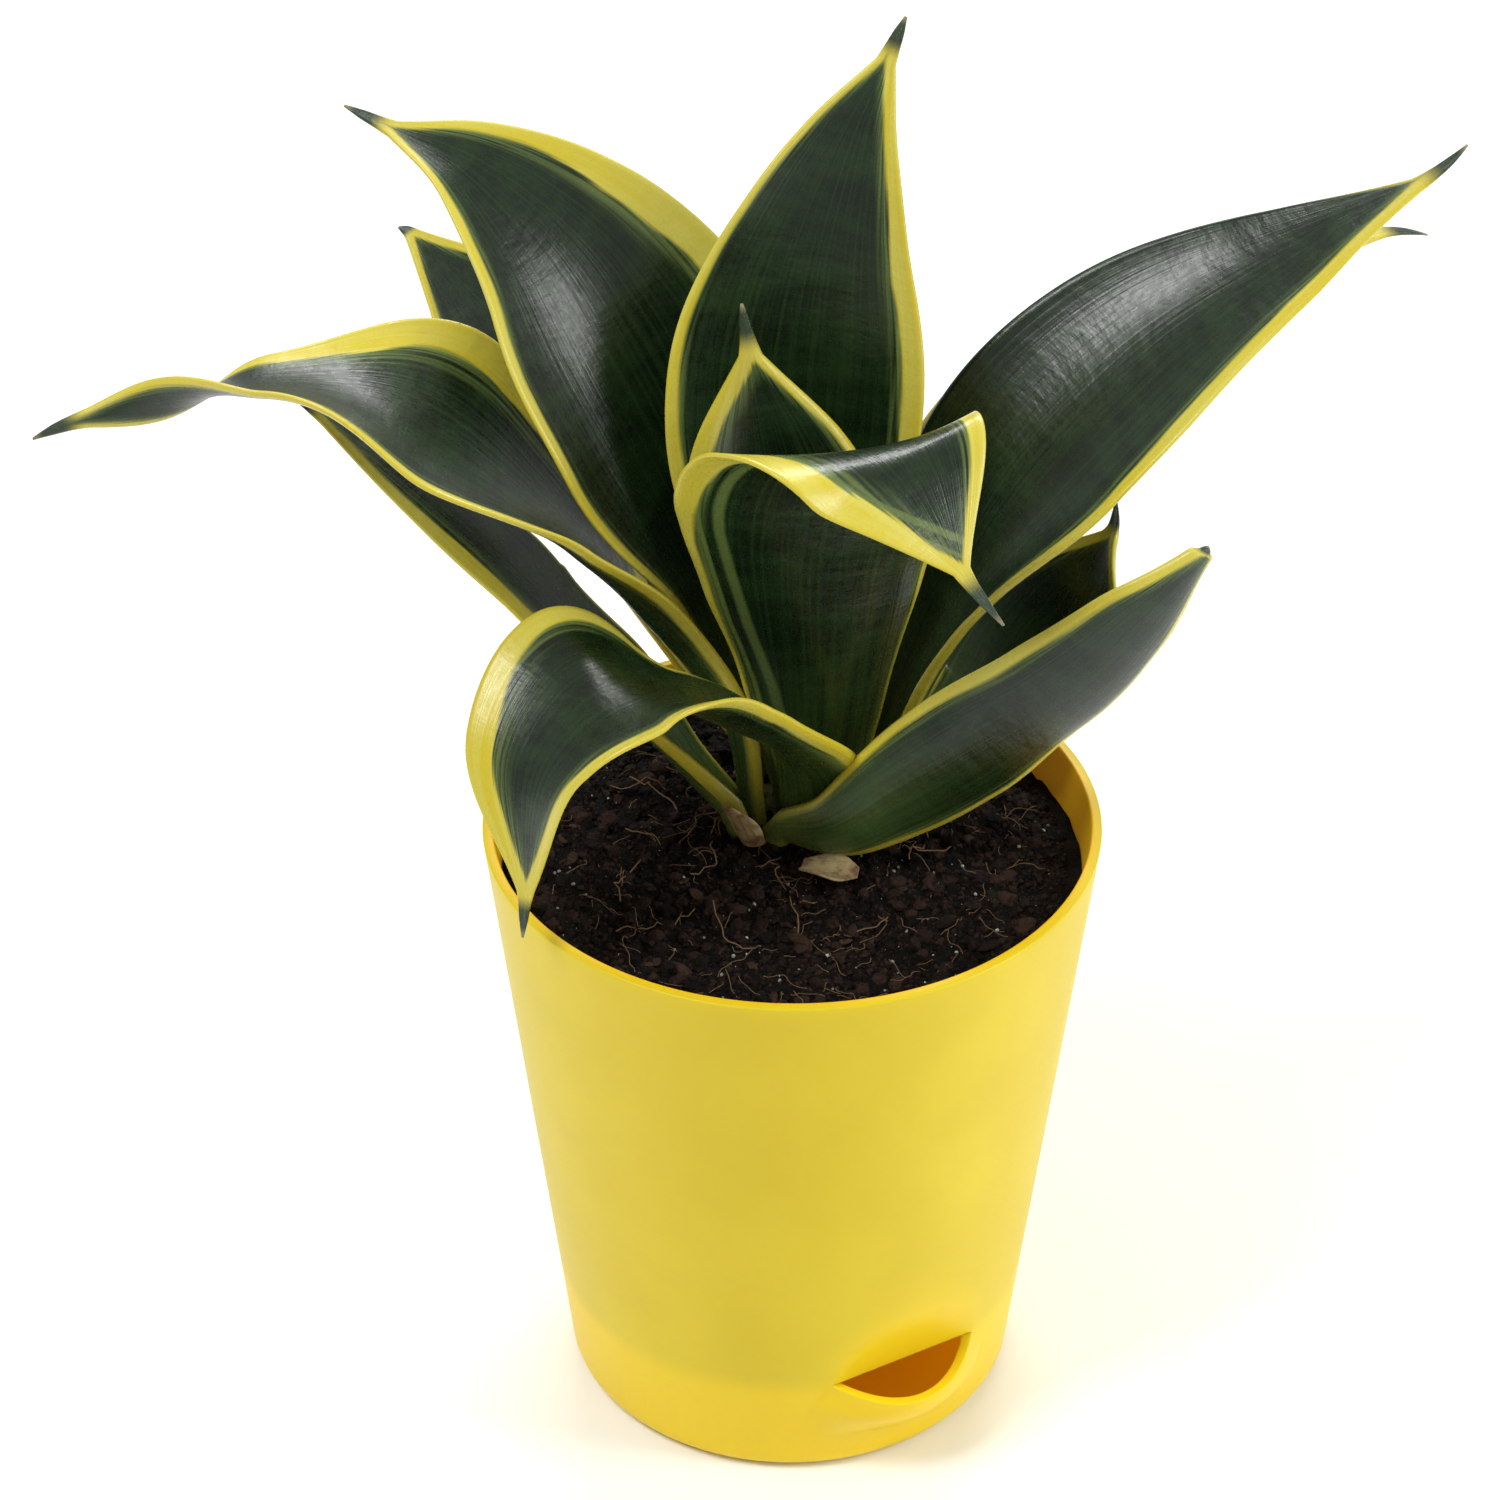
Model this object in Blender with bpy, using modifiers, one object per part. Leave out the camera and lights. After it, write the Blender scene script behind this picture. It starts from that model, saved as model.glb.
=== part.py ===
"""Dwarf snake plant in a self-watering pot: the solid model, with every sub-part as its own object.

Sizes are in millimetres and are scaled to metres as each mesh is made. The origin is the middle of
the pot's base, +Z is up, and the plant's front (the side with the water inlet) looks towards -Y.
"""

import math

import bmesh
import bpy
import numpy as np
from mathutils import Matrix, Vector

MM = 0.001
GAP = 0.3

# The pot
POT_HEIGHT = 112.0
RIM_RADIUS = 52.0
BASE_RADIUS = 38.5
WALL = 1.8
BASE_EDGE = 3.5
POT_COLUMNS = 72

# The water inlet: the wall is pressed in above a slot and swells out below it
INLET_HEADING = -60.0
INLET_HALF_ANGLE = 20.0
INLET_LEVEL = 21.0
SCOOP_HEIGHT = 15.0
LIP_HALF_ANGLE = 25.0
LIP_HEIGHT = 13.0
LIP_OUT = 5.4
LIP_DROP = 3.2
LIP_WIDEST = 0.4
LIP_ROWS = 5

# The plate that keeps the soil out of the reservoir, with its wicking cup
PLATE_THICK = 1.6
PLATE_TOP = INLET_LEVEL + PLATE_THICK
CUP_RADIUS = 13.0
CUP_FOOT_RADIUS = 10.0
CUP_WALL = 1.4
DRAIN_HOLES = 8
DRAIN_HOLE_RADIUS = 2.0
DRAIN_RING_RADIUS = 24.0
CUP_SLOTS = 4
CUP_SLOT_WIDTH = 3.0

# The soil
SOIL_BELOW_RIM = 7.5
SOIL_TOP = POT_HEIGHT - SOIL_BELOW_RIM
SOIL_GAP = 0.5
MOUND_HEIGHT = 2.0
MOUND_RADIUS = 26.0
SOIL_BUMP = 0.35

# The plant, placed by its crown
CROWN_X = 4.0
CROWN_Y = 14.0
CROWN_RADIUS = 14.0
CROWN_DEPTH = 16.0
CROWN_TOP = MOUND_HEIGHT + 0.2
LEAF_FOOT = CROWN_TOP + 0.4
PLANT_SCALE = 1.0

# Every leaf
LEAF_ROWS = 15
LEAF_HALF_COLUMNS = 3
LEAF_THICK_FOOT = 2.4
LEAF_THICK_END = 1.5
MARGIN_THICK_FOOT = 0.9
MARGIN_THICK_END = 0.7
STEEP = 0.7
SPINE_HALF_WIDTHS = (1.0, 0.75, 0.3)
SPINE_THICKNESSES = (1.1, 0.8, 0.4)

# One entry per leaf. "midrib" holds points along the middle of the upper face, from the crown out
# (x and y from the pot's axis, z above the soil). The other lists are spread evenly along it:
# heading is the way the blade's base looks, roll turns the blade about its midrib, cup is half the
# angle that the blade's cross-section curls through, and widths are half-widths.
LEAVES = {
    "leaf_left_long": dict(
        midrib=[
            (-6.4, 11.4, 4),
            (-10.2, 12.5, 22),
            (-24, 13.5, 41),
            (-42, 17.5, 60),
            (-63, 20, 77),
            (-89, 21, 80),
            (-115, 20, 74),
        ],
        heading=[190, 190, 182, 175, 175],
        roll=[0, 26, 4, -14, 10, 105],
        cup=[40, 44, 30, 22, 20, 12],
        widths=[4.2, 6.0, 16.3, 19.5, 9, 1.4],
        spine=9,
        spine_bend=(-0.1, 0, -0.2),
    ),
    "leaf_left_tall": dict(
        midrib=[(-3, 23, 4), (-12, 30.8, 40), (-24, 35, 70), (-38, 43, 92), (-53, 50, 104), (-66, 54, 109)],
        heading=[130, 142, 150],
        roll=[0, -8, -16, -22, -15],
        cup=[60, 45, 30, 25, 15],
        widths=[6, 12, 22, 24, 15, 1.4],
        spine=8,
        spine_bend=(-0.1, 0, 0.05),
    ),
    "leaf_back_left": dict(
        midrib=[(-5, 29, 4), (-22, 46, 32), (-41, 62, 54), (-65, 78, 75)],
        heading=[125, 135],
        roll=[0],
        cup=[50, 30, 20],
        widths=[5, 13, 17, 20, 15, 1.4],
        spine=3,
        spine_bend=(-0.2, 0, -0.3),
    ),
    "leaf_centre_tall": dict(
        midrib=[(4, 20.4, 4), (2, 25, 35), (0, 30, 66), (3, 36, 92), (9, 42, 112), (15, 47, 125)],
        heading=[90],
        roll=[0],
        cup=[60, 50, 35, 25, 15],
        widths=[5.0, 11.6, 20, 21.5, 13, 1.4],
        spine=8,
        spine_bend=(0, 0, 0),
    ),
    "leaf_right_long": dict(
        midrib=[(13.8, 16.8, 4), (23, 21, 30), (38, 26, 56), (60, 33, 79), (84, 40, 94), (102, 44, 104)],
        heading=[18],
        roll=[0, 5, 15, 15, 5],
        cup=[60, 50, 35, 25, 15],
        widths=[6, 13.4, 21.4, 20.4, 12, 1.4],
        spine=11,
        spine_bend=(-0.1, 0, 0.1),
    ),
    "leaf_back_right": dict(
        midrib=[(11, 29, 4), (25, 42, 38), (48, 53, 62), (74, 65, 75), (100, 77, 76)],
        heading=[50, 36, 33],
        roll=[0],
        cup=[55, 40, 25, 15],
        widths=[5, 9, 14, 13, 8, 1.4],
        spine=10,
        spine_bend=(0.1, 0, -0.3),
    ),
    "leaf_centre_spear": dict(
        midrib=[(4, 13, 4), (1, 10.7, 36), (-3, 11.4, 64), (-7, 15, 89)],
        heading=[262],
        roll=[0],
        cup=[60, 55, 35, 20],
        widths=[5, 8, 15, 18, 13, 1.6],
        spine=9,
        spine_bend=(0, 0, 0),
    ),
    "leaf_front_folded": dict(
        midrib=[(4, 9.7, 4), (4, 5, 32), (4, -2, 64), (8, -9, 85), (15, -18, 90), (26, -30, 77)],
        heading=[270, 272, 275, 285, 296],
        roll=[0],
        cup=[60, 45, 35, 18, 6, 4],
        widths=[7.5, 13, 19, 24, 19, 1.4],
        spine=8,
        spine_bend=(0.3, 0.2, -0.4),
    ),
    "leaf_left_low": dict(
        midrib=[(-10.5, 7.2, 5.2), (-17, 10, 11.5), (-27, 14.5, 23), (-42, 19, 41), (-59, 23, 57), (-77, 28, 69)],
        heading=[205, 190, 178, 168],
        roll=[0, -10, -10, -10],
        cup=[40, 30, 0, -12, -12],
        widths=[7.2, 9.6, 10.5, 10, 7, 1.4],
        spine=8,
        spine_bend=(0, 0, 0),
    ),
    "leaf_front_left": dict(
        midrib=[(4, 5.0, 4), (3, 0.4, 19), (-12, -8.5, 35), (-30, -16, 46), (-42, -26, 38), (-43.5, -36, 19)],
        heading=[262, 248, 225, 222],
        roll=[0, -14, -6, 3, 0],
        cup=[50, 34, 20, 15],
        widths=[6, 8.6, 14, 19, 13, 1.4],
        spine=6,
        spine_bend=(0, 0, -0.3),
    ),
    "leaf_front_right": dict(
        midrib=[
            (-1, 1.1, 5.3),
            (7, -5.1, 9.0),
            (17, -5.3, 15.6),
            (34, -5.1, 28),
            (47, -4.4, 38.5),
            (58, -3.6, 51.5),
            (66, -2, 62),
        ],
        heading=[-26, -12, -5, 2, 5, 8],
        roll=[-82, -88, -84, -77, -76, -65],
        cup=[35],
        widths=[2.6, 7.4, 11, 12, 11.5, 8.4, 2.4],
        spine=1.5,
        spine_bend=(0, 0, 0),
    ),
    "leaf_right_low": dict(
        midrib=[(19.3, 14, 4.8), (24.3, 18, 10.5), (33, 22, 15), (43, 28, 25), (54, 37, 40)],
        heading=[-8, 22, 28],
        roll=[0, 30, 22, 0],
        cup=[60, 35, 30],
        widths=[5.5, 9, 14, 16, 12, 1.6],
        spine=4,
        spine_bend=(-0.3, 0, 0.8),
    ),
}

# The two dry scales at the foot of the plant are made like leaves, but smaller and thinner
SCALES = {
    "dry_scale_front": dict(
        midrib=[(1.5, -7.3, 3), (6, -8.7, 3.4), (11, -9.5, 3.1)],
        heading=[-60],
        roll=[0],
        cup=[35, 20],
        widths=[1.6, 3.2, 3.4, 1.2],
    ),
    "dry_scale_left": dict(
        midrib=[(-7.2, -1.2, 3), (-9.2, -1.8, 8), (-11, -3, 12)],
        heading=[230],
        roll=[0],
        cup=[50, 35],
        widths=[3.0, 3.6, 3.2, 1.2],
    ),
}
SCALE_ROWS = 7
SCALE_HALF_COLUMNS = 2
SCALE_THICK = 0.6
SCALE_MARGIN_THICK = 0.4

COLOURS = {
    "pot": (0.85, 0.62, 0.04, 1.0),
    "plate": (0.80, 0.55, 0.05, 1.0),
    "soil": (0.035, 0.022, 0.015, 1.0),
    "crown": (0.45, 0.42, 0.22, 1.0),
    "leaf": (0.04, 0.10, 0.04, 1.0),
    "scale": (0.45, 0.36, 0.20, 1.0),
}


def clear_scene():
    for obj in list(bpy.data.objects):
        bpy.data.objects.remove(obj, do_unlink=True)


def new_collection(name, hidden=False):
    collection = bpy.data.collections.new(name)
    collection.hide_render = hidden
    bpy.context.scene.collection.children.link(collection)
    return collection


def material(name):
    made = bpy.data.materials.get(name)
    if made is None:
        made = bpy.data.materials.new(name)
        made.use_nodes = True
        made.node_tree.nodes["Principled BSDF"].inputs["Base Color"].default_value = COLOURS[name]
    return made


def add_object(name, mesh_bm, collection, colour):
    """Turns a bmesh measured in millimetres into an object in metres, with its faces turned outwards."""
    bmesh.ops.transform(mesh_bm, matrix=Matrix.Scale(MM, 4), verts=mesh_bm.verts)
    bmesh.ops.recalc_face_normals(mesh_bm, faces=mesh_bm.faces)
    mesh = bpy.data.meshes.new(name)
    mesh_bm.to_mesh(mesh)
    mesh_bm.free()
    obj = bpy.data.objects.new(name, mesh)
    collection.objects.link(obj)
    mesh.materials.append(material(colour))
    return obj


def add_cutter(name, mesh_bm, cutters):
    obj = add_object(name, mesh_bm, cutters, "plate")
    obj.hide_render = True
    obj.display_type = "WIRE"
    return obj


def cut(obj, cutter):
    boolean = obj.modifiers.new(cutter.name, "BOOLEAN")
    boolean.operation = "DIFFERENCE"
    boolean.solver = "EXACT"
    boolean.object = cutter


def ease(x):
    x = min(max(x, 0.0), 1.0)
    return x * x * (3.0 - 2.0 * x)


def spun(profile, columns):
    """A profile of (radius, z) points turned about the Z axis, starting at the inlet's heading."""
    turned = bmesh.new()
    start = math.radians(INLET_HEADING)
    points = [turned.verts.new((r * math.cos(start), r * math.sin(start), z)) for r, z in profile]
    edges = [turned.edges.new(pair) for pair in zip(points, points[1:])]
    bmesh.ops.spin(
        turned,
        geom=points + edges,
        axis=(0, 0, 1),
        cent=(0, 0, 0),
        steps=columns,
        angle=math.tau,
        use_merge=True,
    )
    bmesh.ops.remove_doubles(turned, verts=turned.verts, dist=0.001)
    return turned


def outer_radius(z):
    return BASE_RADIUS + (RIM_RADIUS - BASE_RADIUS) * z / POT_HEIGHT


def from_inlet(x, y):
    """Degrees round the pot from the middle of the inlet."""
    turn = math.degrees(math.atan2(y, x)) - INLET_HEADING
    return (turn + 180.0) % 360.0 - 180.0


def scoop_depth(turn, z):
    """How far the wall is pressed in above the slot. At the slot it follows a straight chord."""
    if abs(turn) >= INLET_HALF_ANGLE or z < INLET_LEVEL:
        return 0.0
    half = math.radians(INLET_HALF_ANGLE)
    chord = outer_radius(INLET_LEVEL) * (1.0 - math.cos(half) / math.cos(math.radians(turn)))
    height = SCOOP_HEIGHT * math.sqrt(1.0 - (turn / INLET_HALF_ANGLE) ** 2) + 0.001
    return chord * (1.0 - ease((z - INLET_LEVEL) / height))


def lip_share(turn, z):
    """1 at the middle of the lip's edge, falling to 0 at its ends and at its foot.

    At the slot the lip is as wide as the slot, and it is widest a little lower down.
    """
    below = (INLET_LEVEL - z) / LIP_HEIGHT
    reach = INLET_HALF_ANGLE + (LIP_HALF_ANGLE - INLET_HALF_ANGLE) * ease(below / LIP_WIDEST)
    if abs(turn) >= reach or below < 0.0 or below >= 1.0:
        return 0.0
    return math.cos(math.pi / 2.0 * turn / reach) * math.cos(math.pi / 2.0 * below)


def press_scoop(shape):
    """Presses the points of a turned body in where the wall round it is pressed in."""
    for vert in shape.verts:
        radius = math.hypot(vert.co.x, vert.co.y)
        if radius < outer_radius(vert.co.z) - WALL - 2.0:
            continue
        share = 1.0 - scoop_depth(from_inlet(vert.co.x, vert.co.y), vert.co.z) / radius
        vert.co.x *= share
        vert.co.y *= share


def scoop_levels():
    return [INLET_LEVEL + SCOOP_HEIGHT * share for share in (0.2, 0.45, 0.7, 1.0)]


def pot_profile():
    points = [(0.0, 0.0), (BASE_RADIUS * 0.5, 0.0)]
    centre = outer_radius(BASE_EDGE) - BASE_EDGE
    for step in range(5):
        angle = math.radians(90.0 * step / 4)
        points.append((centre + BASE_EDGE * math.sin(angle), BASE_EDGE * (1.0 - math.cos(angle))))
    lip_levels = [INLET_LEVEL - LIP_HEIGHT * (LIP_ROWS - row) / LIP_ROWS for row in range(LIP_ROWS)]
    levels = lip_levels + [INLET_LEVEL] + scoop_levels() + [POT_HEIGHT * 0.66, POT_HEIGHT]
    points.extend((outer_radius(z), z) for z in levels)
    return points


def open_slot(shape):
    """Parts the wall along the slot and moves its two edges apart."""
    def on_slot(vert):
        turn = abs(from_inlet(vert.co.x, vert.co.y))
        return abs(vert.co.z - INLET_LEVEL) < 0.01 and turn < INLET_HALF_ANGLE + 0.01

    edges = [edge for edge in shape.edges if all(on_slot(vert) for vert in edge.verts)]
    bmesh.ops.split_edges(shape, edges=edges)
    moved = {}
    for vert in shape.verts:
        radius = math.hypot(vert.co.x, vert.co.y)
        if radius < BASE_RADIUS * 0.6:
            continue
        turn = from_inlet(vert.co.x, vert.co.y)
        middle = sum(face.calc_center_median().z for face in vert.link_faces) / len(vert.link_faces)
        if middle > INLET_LEVEL + 0.2:
            out = -scoop_depth(turn, vert.co.z)
            drop = 0.0
        else:
            share = lip_share(turn, vert.co.z)
            out = LIP_OUT * share
            drop = LIP_DROP * share
        scale = 1.0 + out / radius
        moved[vert] = (vert.co.x * scale, vert.co.y * scale, vert.co.z - drop)
    for vert, place in moved.items():
        vert.co = place


def build_pot(collection):
    shell = spun(pot_profile(), POT_COLUMNS)
    bmesh.ops.recalc_face_normals(shell, faces=shell.faces)
    open_slot(shell)
    pot = add_object("self_watering_pot", shell, collection, "pot")
    wall = pot.modifiers.new("wall", "SOLIDIFY")
    wall.thickness = WALL * MM
    wall.offset = -1.0
    wall.use_even_offset = True
    return pot


def plate_radius():
    return outer_radius(INLET_LEVEL) - WALL - GAP


def cup_floor():
    return WALL + GAP


def build_plate(collection, cutters):
    """The separator plate with its wicking cup, turned from one closed profile."""
    inlet_room = plate_radius() - outer_radius(INLET_LEVEL) * (
        1.0 - math.cos(math.radians(INLET_HALF_ANGLE))
    )
    rim = inlet_room - GAP
    foot = cup_floor()
    profile = [
        (0.0, foot),
        (CUP_FOOT_RADIUS, foot),
        (CUP_RADIUS, INLET_LEVEL),
        (rim, INLET_LEVEL),
        (rim, PLATE_TOP),
        (CUP_RADIUS - CUP_WALL, PLATE_TOP),
        (CUP_FOOT_RADIUS - CUP_WALL, foot + CUP_WALL),
        (0.0, foot + CUP_WALL),
    ]
    plate = add_object("separator_plate", spun(profile, POT_COLUMNS // 2), collection, "plate")
    holes = bmesh.new()
    for number in range(DRAIN_HOLES):
        angle = math.tau * (number + 0.5) / DRAIN_HOLES
        place = Vector((math.cos(angle), math.sin(angle), 0.0)) * DRAIN_RING_RADIUS
        place.z = INLET_LEVEL + PLATE_THICK / 2
        bmesh.ops.create_cone(
            holes,
            cap_ends=True,
            segments=16,
            radius1=DRAIN_HOLE_RADIUS,
            radius2=DRAIN_HOLE_RADIUS,
            depth=PLATE_THICK * 3,
            matrix=Matrix.Translation(place),
        )
    cut(plate, add_cutter("drain_holes", holes, cutters))
    slots = bmesh.new()
    slot_low = foot + CUP_WALL + 2.0
    slot_high = INLET_LEVEL - 5.0
    for number in range(CUP_SLOTS):
        turn = Matrix.Rotation(math.tau * number / CUP_SLOTS, 4, "Z")
        place = Matrix.Translation((CUP_RADIUS * 0.85, 0.0, (slot_low + slot_high) / 2))
        size = Matrix.Diagonal((CUP_RADIUS * 0.5, CUP_SLOT_WIDTH, slot_high - slot_low, 1.0))
        bmesh.ops.create_cube(slots, size=1.0, matrix=turn @ place @ size)
    cut(plate, add_cutter("cup_slots", slots, cutters))
    return plate


def soil_height(x, y):
    """Height of the soil's surface: a low mound round the crown, with slight unevenness."""
    away = math.hypot(x - CROWN_X, y - CROWN_Y)
    mound = MOUND_HEIGHT * (1.0 - ease((away - MOUND_RADIUS * 0.8) / (MOUND_RADIUS * 0.6)))
    uneven = math.sin(x * 0.31 + 1.0) * math.cos(y * 0.27) * ease((away - MOUND_RADIUS) / MOUND_RADIUS)
    return SOIL_TOP + mound + SOIL_BUMP * uneven


def build_soil(collection):
    """The soil fills the pot above the plate, and its plug fills the wicking cup."""
    low = PLATE_TOP + GAP
    foot = cup_floor() + CUP_WALL + GAP
    side = WALL + SOIL_GAP
    slope = (CUP_RADIUS - CUP_FOOT_RADIUS) / (INLET_LEVEL - cup_floor())
    plug_top = CUP_RADIUS - CUP_WALL - 2 * GAP
    plug_foot = plug_top - slope * (low - foot)
    profile = [(0.0, foot), (plug_foot, foot), (plug_top, low)]
    levels = [low] + scoop_levels() + [POT_HEIGHT * 0.66, SOIL_TOP]
    profile.extend((outer_radius(z) - side, z) for z in levels)
    top = outer_radius(SOIL_TOP) - side
    profile.extend((top * share, SOIL_TOP) for share in (0.9, 0.75, 0.6, 0.45, 0.3, 0.15, 0.0))
    soil = spun(profile, POT_COLUMNS)
    press_scoop(soil)
    for vert in soil.verts:
        if vert.co.z > SOIL_TOP - 0.01 and math.hypot(vert.co.x, vert.co.y) < top - 0.5:
            vert.co.z = soil_height(vert.co.x, vert.co.y)
    return add_object("potting_soil", soil, collection, "soil")


def crown_profile(extra):
    radius = CROWN_RADIUS + extra
    low = SOIL_TOP - CROWN_DEPTH - extra
    high = SOIL_TOP + CROWN_TOP
    return [
        (0.0, low),
        (radius * 0.55, low + 1.0),
        (radius * 0.9, low + 5.0),
        (radius, low + 9.0),
        (radius, high - 0.8),
        (radius - 0.8, high),
        (0.0, high),
    ]


def crown_shape(extra):
    shape = spun(crown_profile(extra), 24)
    bmesh.ops.translate(shape, vec=(CROWN_X, CROWN_Y, 0.0), verts=shape.verts)
    return shape


def build_crown(collection, cutters, soil):
    """The rhizome that the leaves grow from, and the pocket that it stands in."""
    crown = add_object("rhizome_crown", crown_shape(0.0), collection, "crown")
    pocket = crown_shape(GAP)
    for vert in pocket.verts:
        if vert.co.z > SOIL_TOP:
            vert.co.z += 4.0
    cut(soil, add_cutter("crown_pocket", pocket, cutters))
    return crown


def curve_through(points, count):
    """Evenly spaced points along a centripetal Catmull-Rom curve through the given ones."""
    known = np.asarray(points, float)
    ends = np.vstack([2 * known[0] - known[1], known, 2 * known[-1] - known[-2]])
    steps = np.linalg.norm(np.diff(ends, axis=0), axis=1) ** 0.5
    knots = np.concatenate([[0.0], np.cumsum(steps)])
    fine = []
    for i in range(1, len(known)):
        t0, t1, t2, t3 = knots[i - 1 : i + 3]
        p0, p1, p2, p3 = ends[i - 1 : i + 3]
        for x in np.linspace(t1, t2, 40, endpoint=False):
            a1 = (t1 - x) / (t1 - t0) * p0 + (x - t0) / (t1 - t0) * p1
            a2 = (t2 - x) / (t2 - t1) * p1 + (x - t1) / (t2 - t1) * p2
            a3 = (t3 - x) / (t3 - t2) * p2 + (x - t2) / (t3 - t2) * p3
            b1 = (t2 - x) / (t2 - t0) * a1 + (x - t0) / (t2 - t0) * a2
            b2 = (t3 - x) / (t3 - t1) * a2 + (x - t1) / (t3 - t1) * a3
            fine.append((t2 - x) / (t2 - t1) * b1 + (x - t1) / (t2 - t1) * b2)
    fine = np.array(fine + [known[-1]])
    lengths = np.concatenate([[0.0], np.cumsum(np.linalg.norm(np.diff(fine, axis=0), axis=1))])
    wanted = np.linspace(0.0, lengths[-1], count)
    return np.stack([np.interp(wanted, lengths, fine[:, k]) for k in range(3)], axis=1)


def eased(values, share):
    """Values spread evenly along the leaf, eased from each to the next."""
    values = np.asarray(values, float)
    if len(values) == 1:
        return np.full_like(share, values[0])
    x = share * (len(values) - 1)
    i = np.minimum(x.astype(int), len(values) - 2)
    f = x - i
    f = f * f * (3.0 - 2.0 * f)
    return values[i] * (1.0 - f) + values[i + 1] * f


def flowing(values, share):
    """Values spread evenly along the leaf, joined by a smooth curve with no flats."""
    values = np.asarray(values, float)
    ends = np.concatenate([[2 * values[0] - values[1]], values, [2 * values[-1] - values[-2]]])
    x = share * (len(values) - 1)
    i = np.minimum(x.astype(int), len(values) - 2)
    f = x - i
    p0, p1, p2, p3 = ends[i], ends[i + 1], ends[i + 2], ends[i + 3]
    curve = 2 * p1 + (p2 - p0) * f
    curve += (2 * p0 - 5 * p1 + 4 * p2 - p3) * f**2
    curve += (3 * p1 - p0 - 3 * p2 + p3) * f**3
    return np.maximum(curve / 2, 1.1)


def unit(vectors):
    return vectors / np.linalg.norm(vectors, axis=1)[:, None]


def blade_axes(midrib, heading, roll):
    """For each row: the way along the leaf, the way to its left margin and the way out of its upper face."""
    forward = unit(np.gradient(midrib, axis=0))
    heading = np.radians(heading)
    left = np.stack([-np.sin(heading), np.cos(heading), 0 * heading], axis=1)
    left = unit(left - (left * forward).sum(axis=1)[:, None] * forward)
    up = np.cross(forward, left)
    roll = np.radians(roll)[:, None]
    rolled_left = left * np.cos(roll) + up * np.sin(roll)
    rolled_up = up * np.cos(roll) - left * np.sin(roll)
    return forward, rolled_left, rolled_up


def add_spine(midrib, axes, length, bend):
    """Carries the rows of a leaf on along its narrow end spine."""
    forward, left, up = axes
    tip = midrib[-1]
    for share in (0.3, 0.65, 1.0):
        point = tip + forward[-1] * share * length + np.array(bend) * length * share**2
        midrib = np.vstack([midrib, point])
    axes = [np.vstack([axis] + [axis[-1]] * 3) for axis in (forward, left, up)]
    return midrib, axes


def blade_faces(midrib, axes, widths, cups, thicks, margins, half_columns):
    """The rows of points on the upper and the lower face of a blade."""
    forward, left, up = axes
    across = np.linspace(-1.0, 1.0, 2 * half_columns + 1)
    fullness = np.sqrt(np.clip(1.0 - across**2, 0.0, 1.0))
    top = []
    bottom = []
    for i in range(len(midrib)):
        curl = math.copysign(max(abs(cups[i]), 0.03), cups[i])
        radius = widths[i] / curl
        angle = across * curl
        sideways = (radius * np.sin(angle))[:, None] * left[i]
        raised = (radius * (1.0 - np.cos(angle)))[:, None] * up[i]
        outward = np.cos(angle)[:, None] * up[i] - np.sin(angle)[:, None] * left[i]
        thick = margins[i] + (thicks[i] - margins[i]) * fullness
        upper = midrib[i] + sideways + raised
        top.append(upper)
        bottom.append(upper - outward * thick[:, None])
    return np.array(top), np.array(bottom)


def level_foot(rings, forward, level):
    """Slides the first ring along a steep leaf until it is level, so that the leaf stands flat."""
    if forward[2] < STEEP:
        return rings
    slide = (level - rings[0][:, 2]) / forward[2]
    rings[0] = rings[0] + slide[:, None] * forward
    return rings


def skin(rings):
    """A closed body over rings of points, with flat strips across its two ends."""
    made = bmesh.new()
    rows = [[made.verts.new(point) for point in ring] for ring in rings]
    count = len(rows[0])
    for first, second in zip(rows, rows[1:]):
        for j in range(count):
            k = (j + 1) % count
            made.faces.new((first[j], first[k], second[k], second[j]))
    for row in (rows[0], rows[-1]):
        for j in range(count // 2 - 1):
            made.faces.new((row[j], row[j + 1], row[count - 2 - j], row[count - 1 - j]))
    bmesh.ops.triangulate(made, faces=made.faces)
    return made


def placed(midrib):
    """Leaf points scaled about the crown and set on the soil."""
    crown = np.array([CROWN_X, CROWN_Y, 0.0])
    points = (np.asarray(midrib, float) - crown) * PLANT_SCALE + crown
    return points + np.array([0.0, 0.0, SOIL_TOP])


def build_leaf(name, leaf, collection):
    share = np.linspace(0.0, 1.0, LEAF_ROWS)
    midrib = curve_through(placed(leaf["midrib"]), LEAF_ROWS)
    axes = blade_axes(midrib, eased(leaf["heading"], share), eased(leaf["roll"], share))
    widths = np.append(flowing(leaf["widths"], share), SPINE_HALF_WIDTHS) * PLANT_SCALE
    cups = np.radians(eased(leaf["cup"], share))
    cups = np.append(cups, [cups[-1]] * 3)
    thicks = LEAF_THICK_FOOT + (LEAF_THICK_END - LEAF_THICK_FOOT) * share
    thicks = np.append(thicks, SPINE_THICKNESSES) * PLANT_SCALE
    margins = MARGIN_THICK_FOOT + (MARGIN_THICK_END - MARGIN_THICK_FOOT) * share
    margins = np.append(margins, np.array(SPINE_THICKNESSES) * 0.6) * PLANT_SCALE
    midrib, axes = add_spine(midrib, axes, leaf["spine"] * PLANT_SCALE, leaf["spine_bend"])
    top, bottom = blade_faces(midrib, axes, widths, cups, thicks, margins, LEAF_HALF_COLUMNS)
    rings = [np.vstack([upper, lower[::-1]]) for upper, lower in zip(top, bottom)]
    rings = level_foot(rings, axes[0][0], SOIL_TOP + LEAF_FOOT)
    return add_object(name, skin(rings), collection, "leaf")


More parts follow.
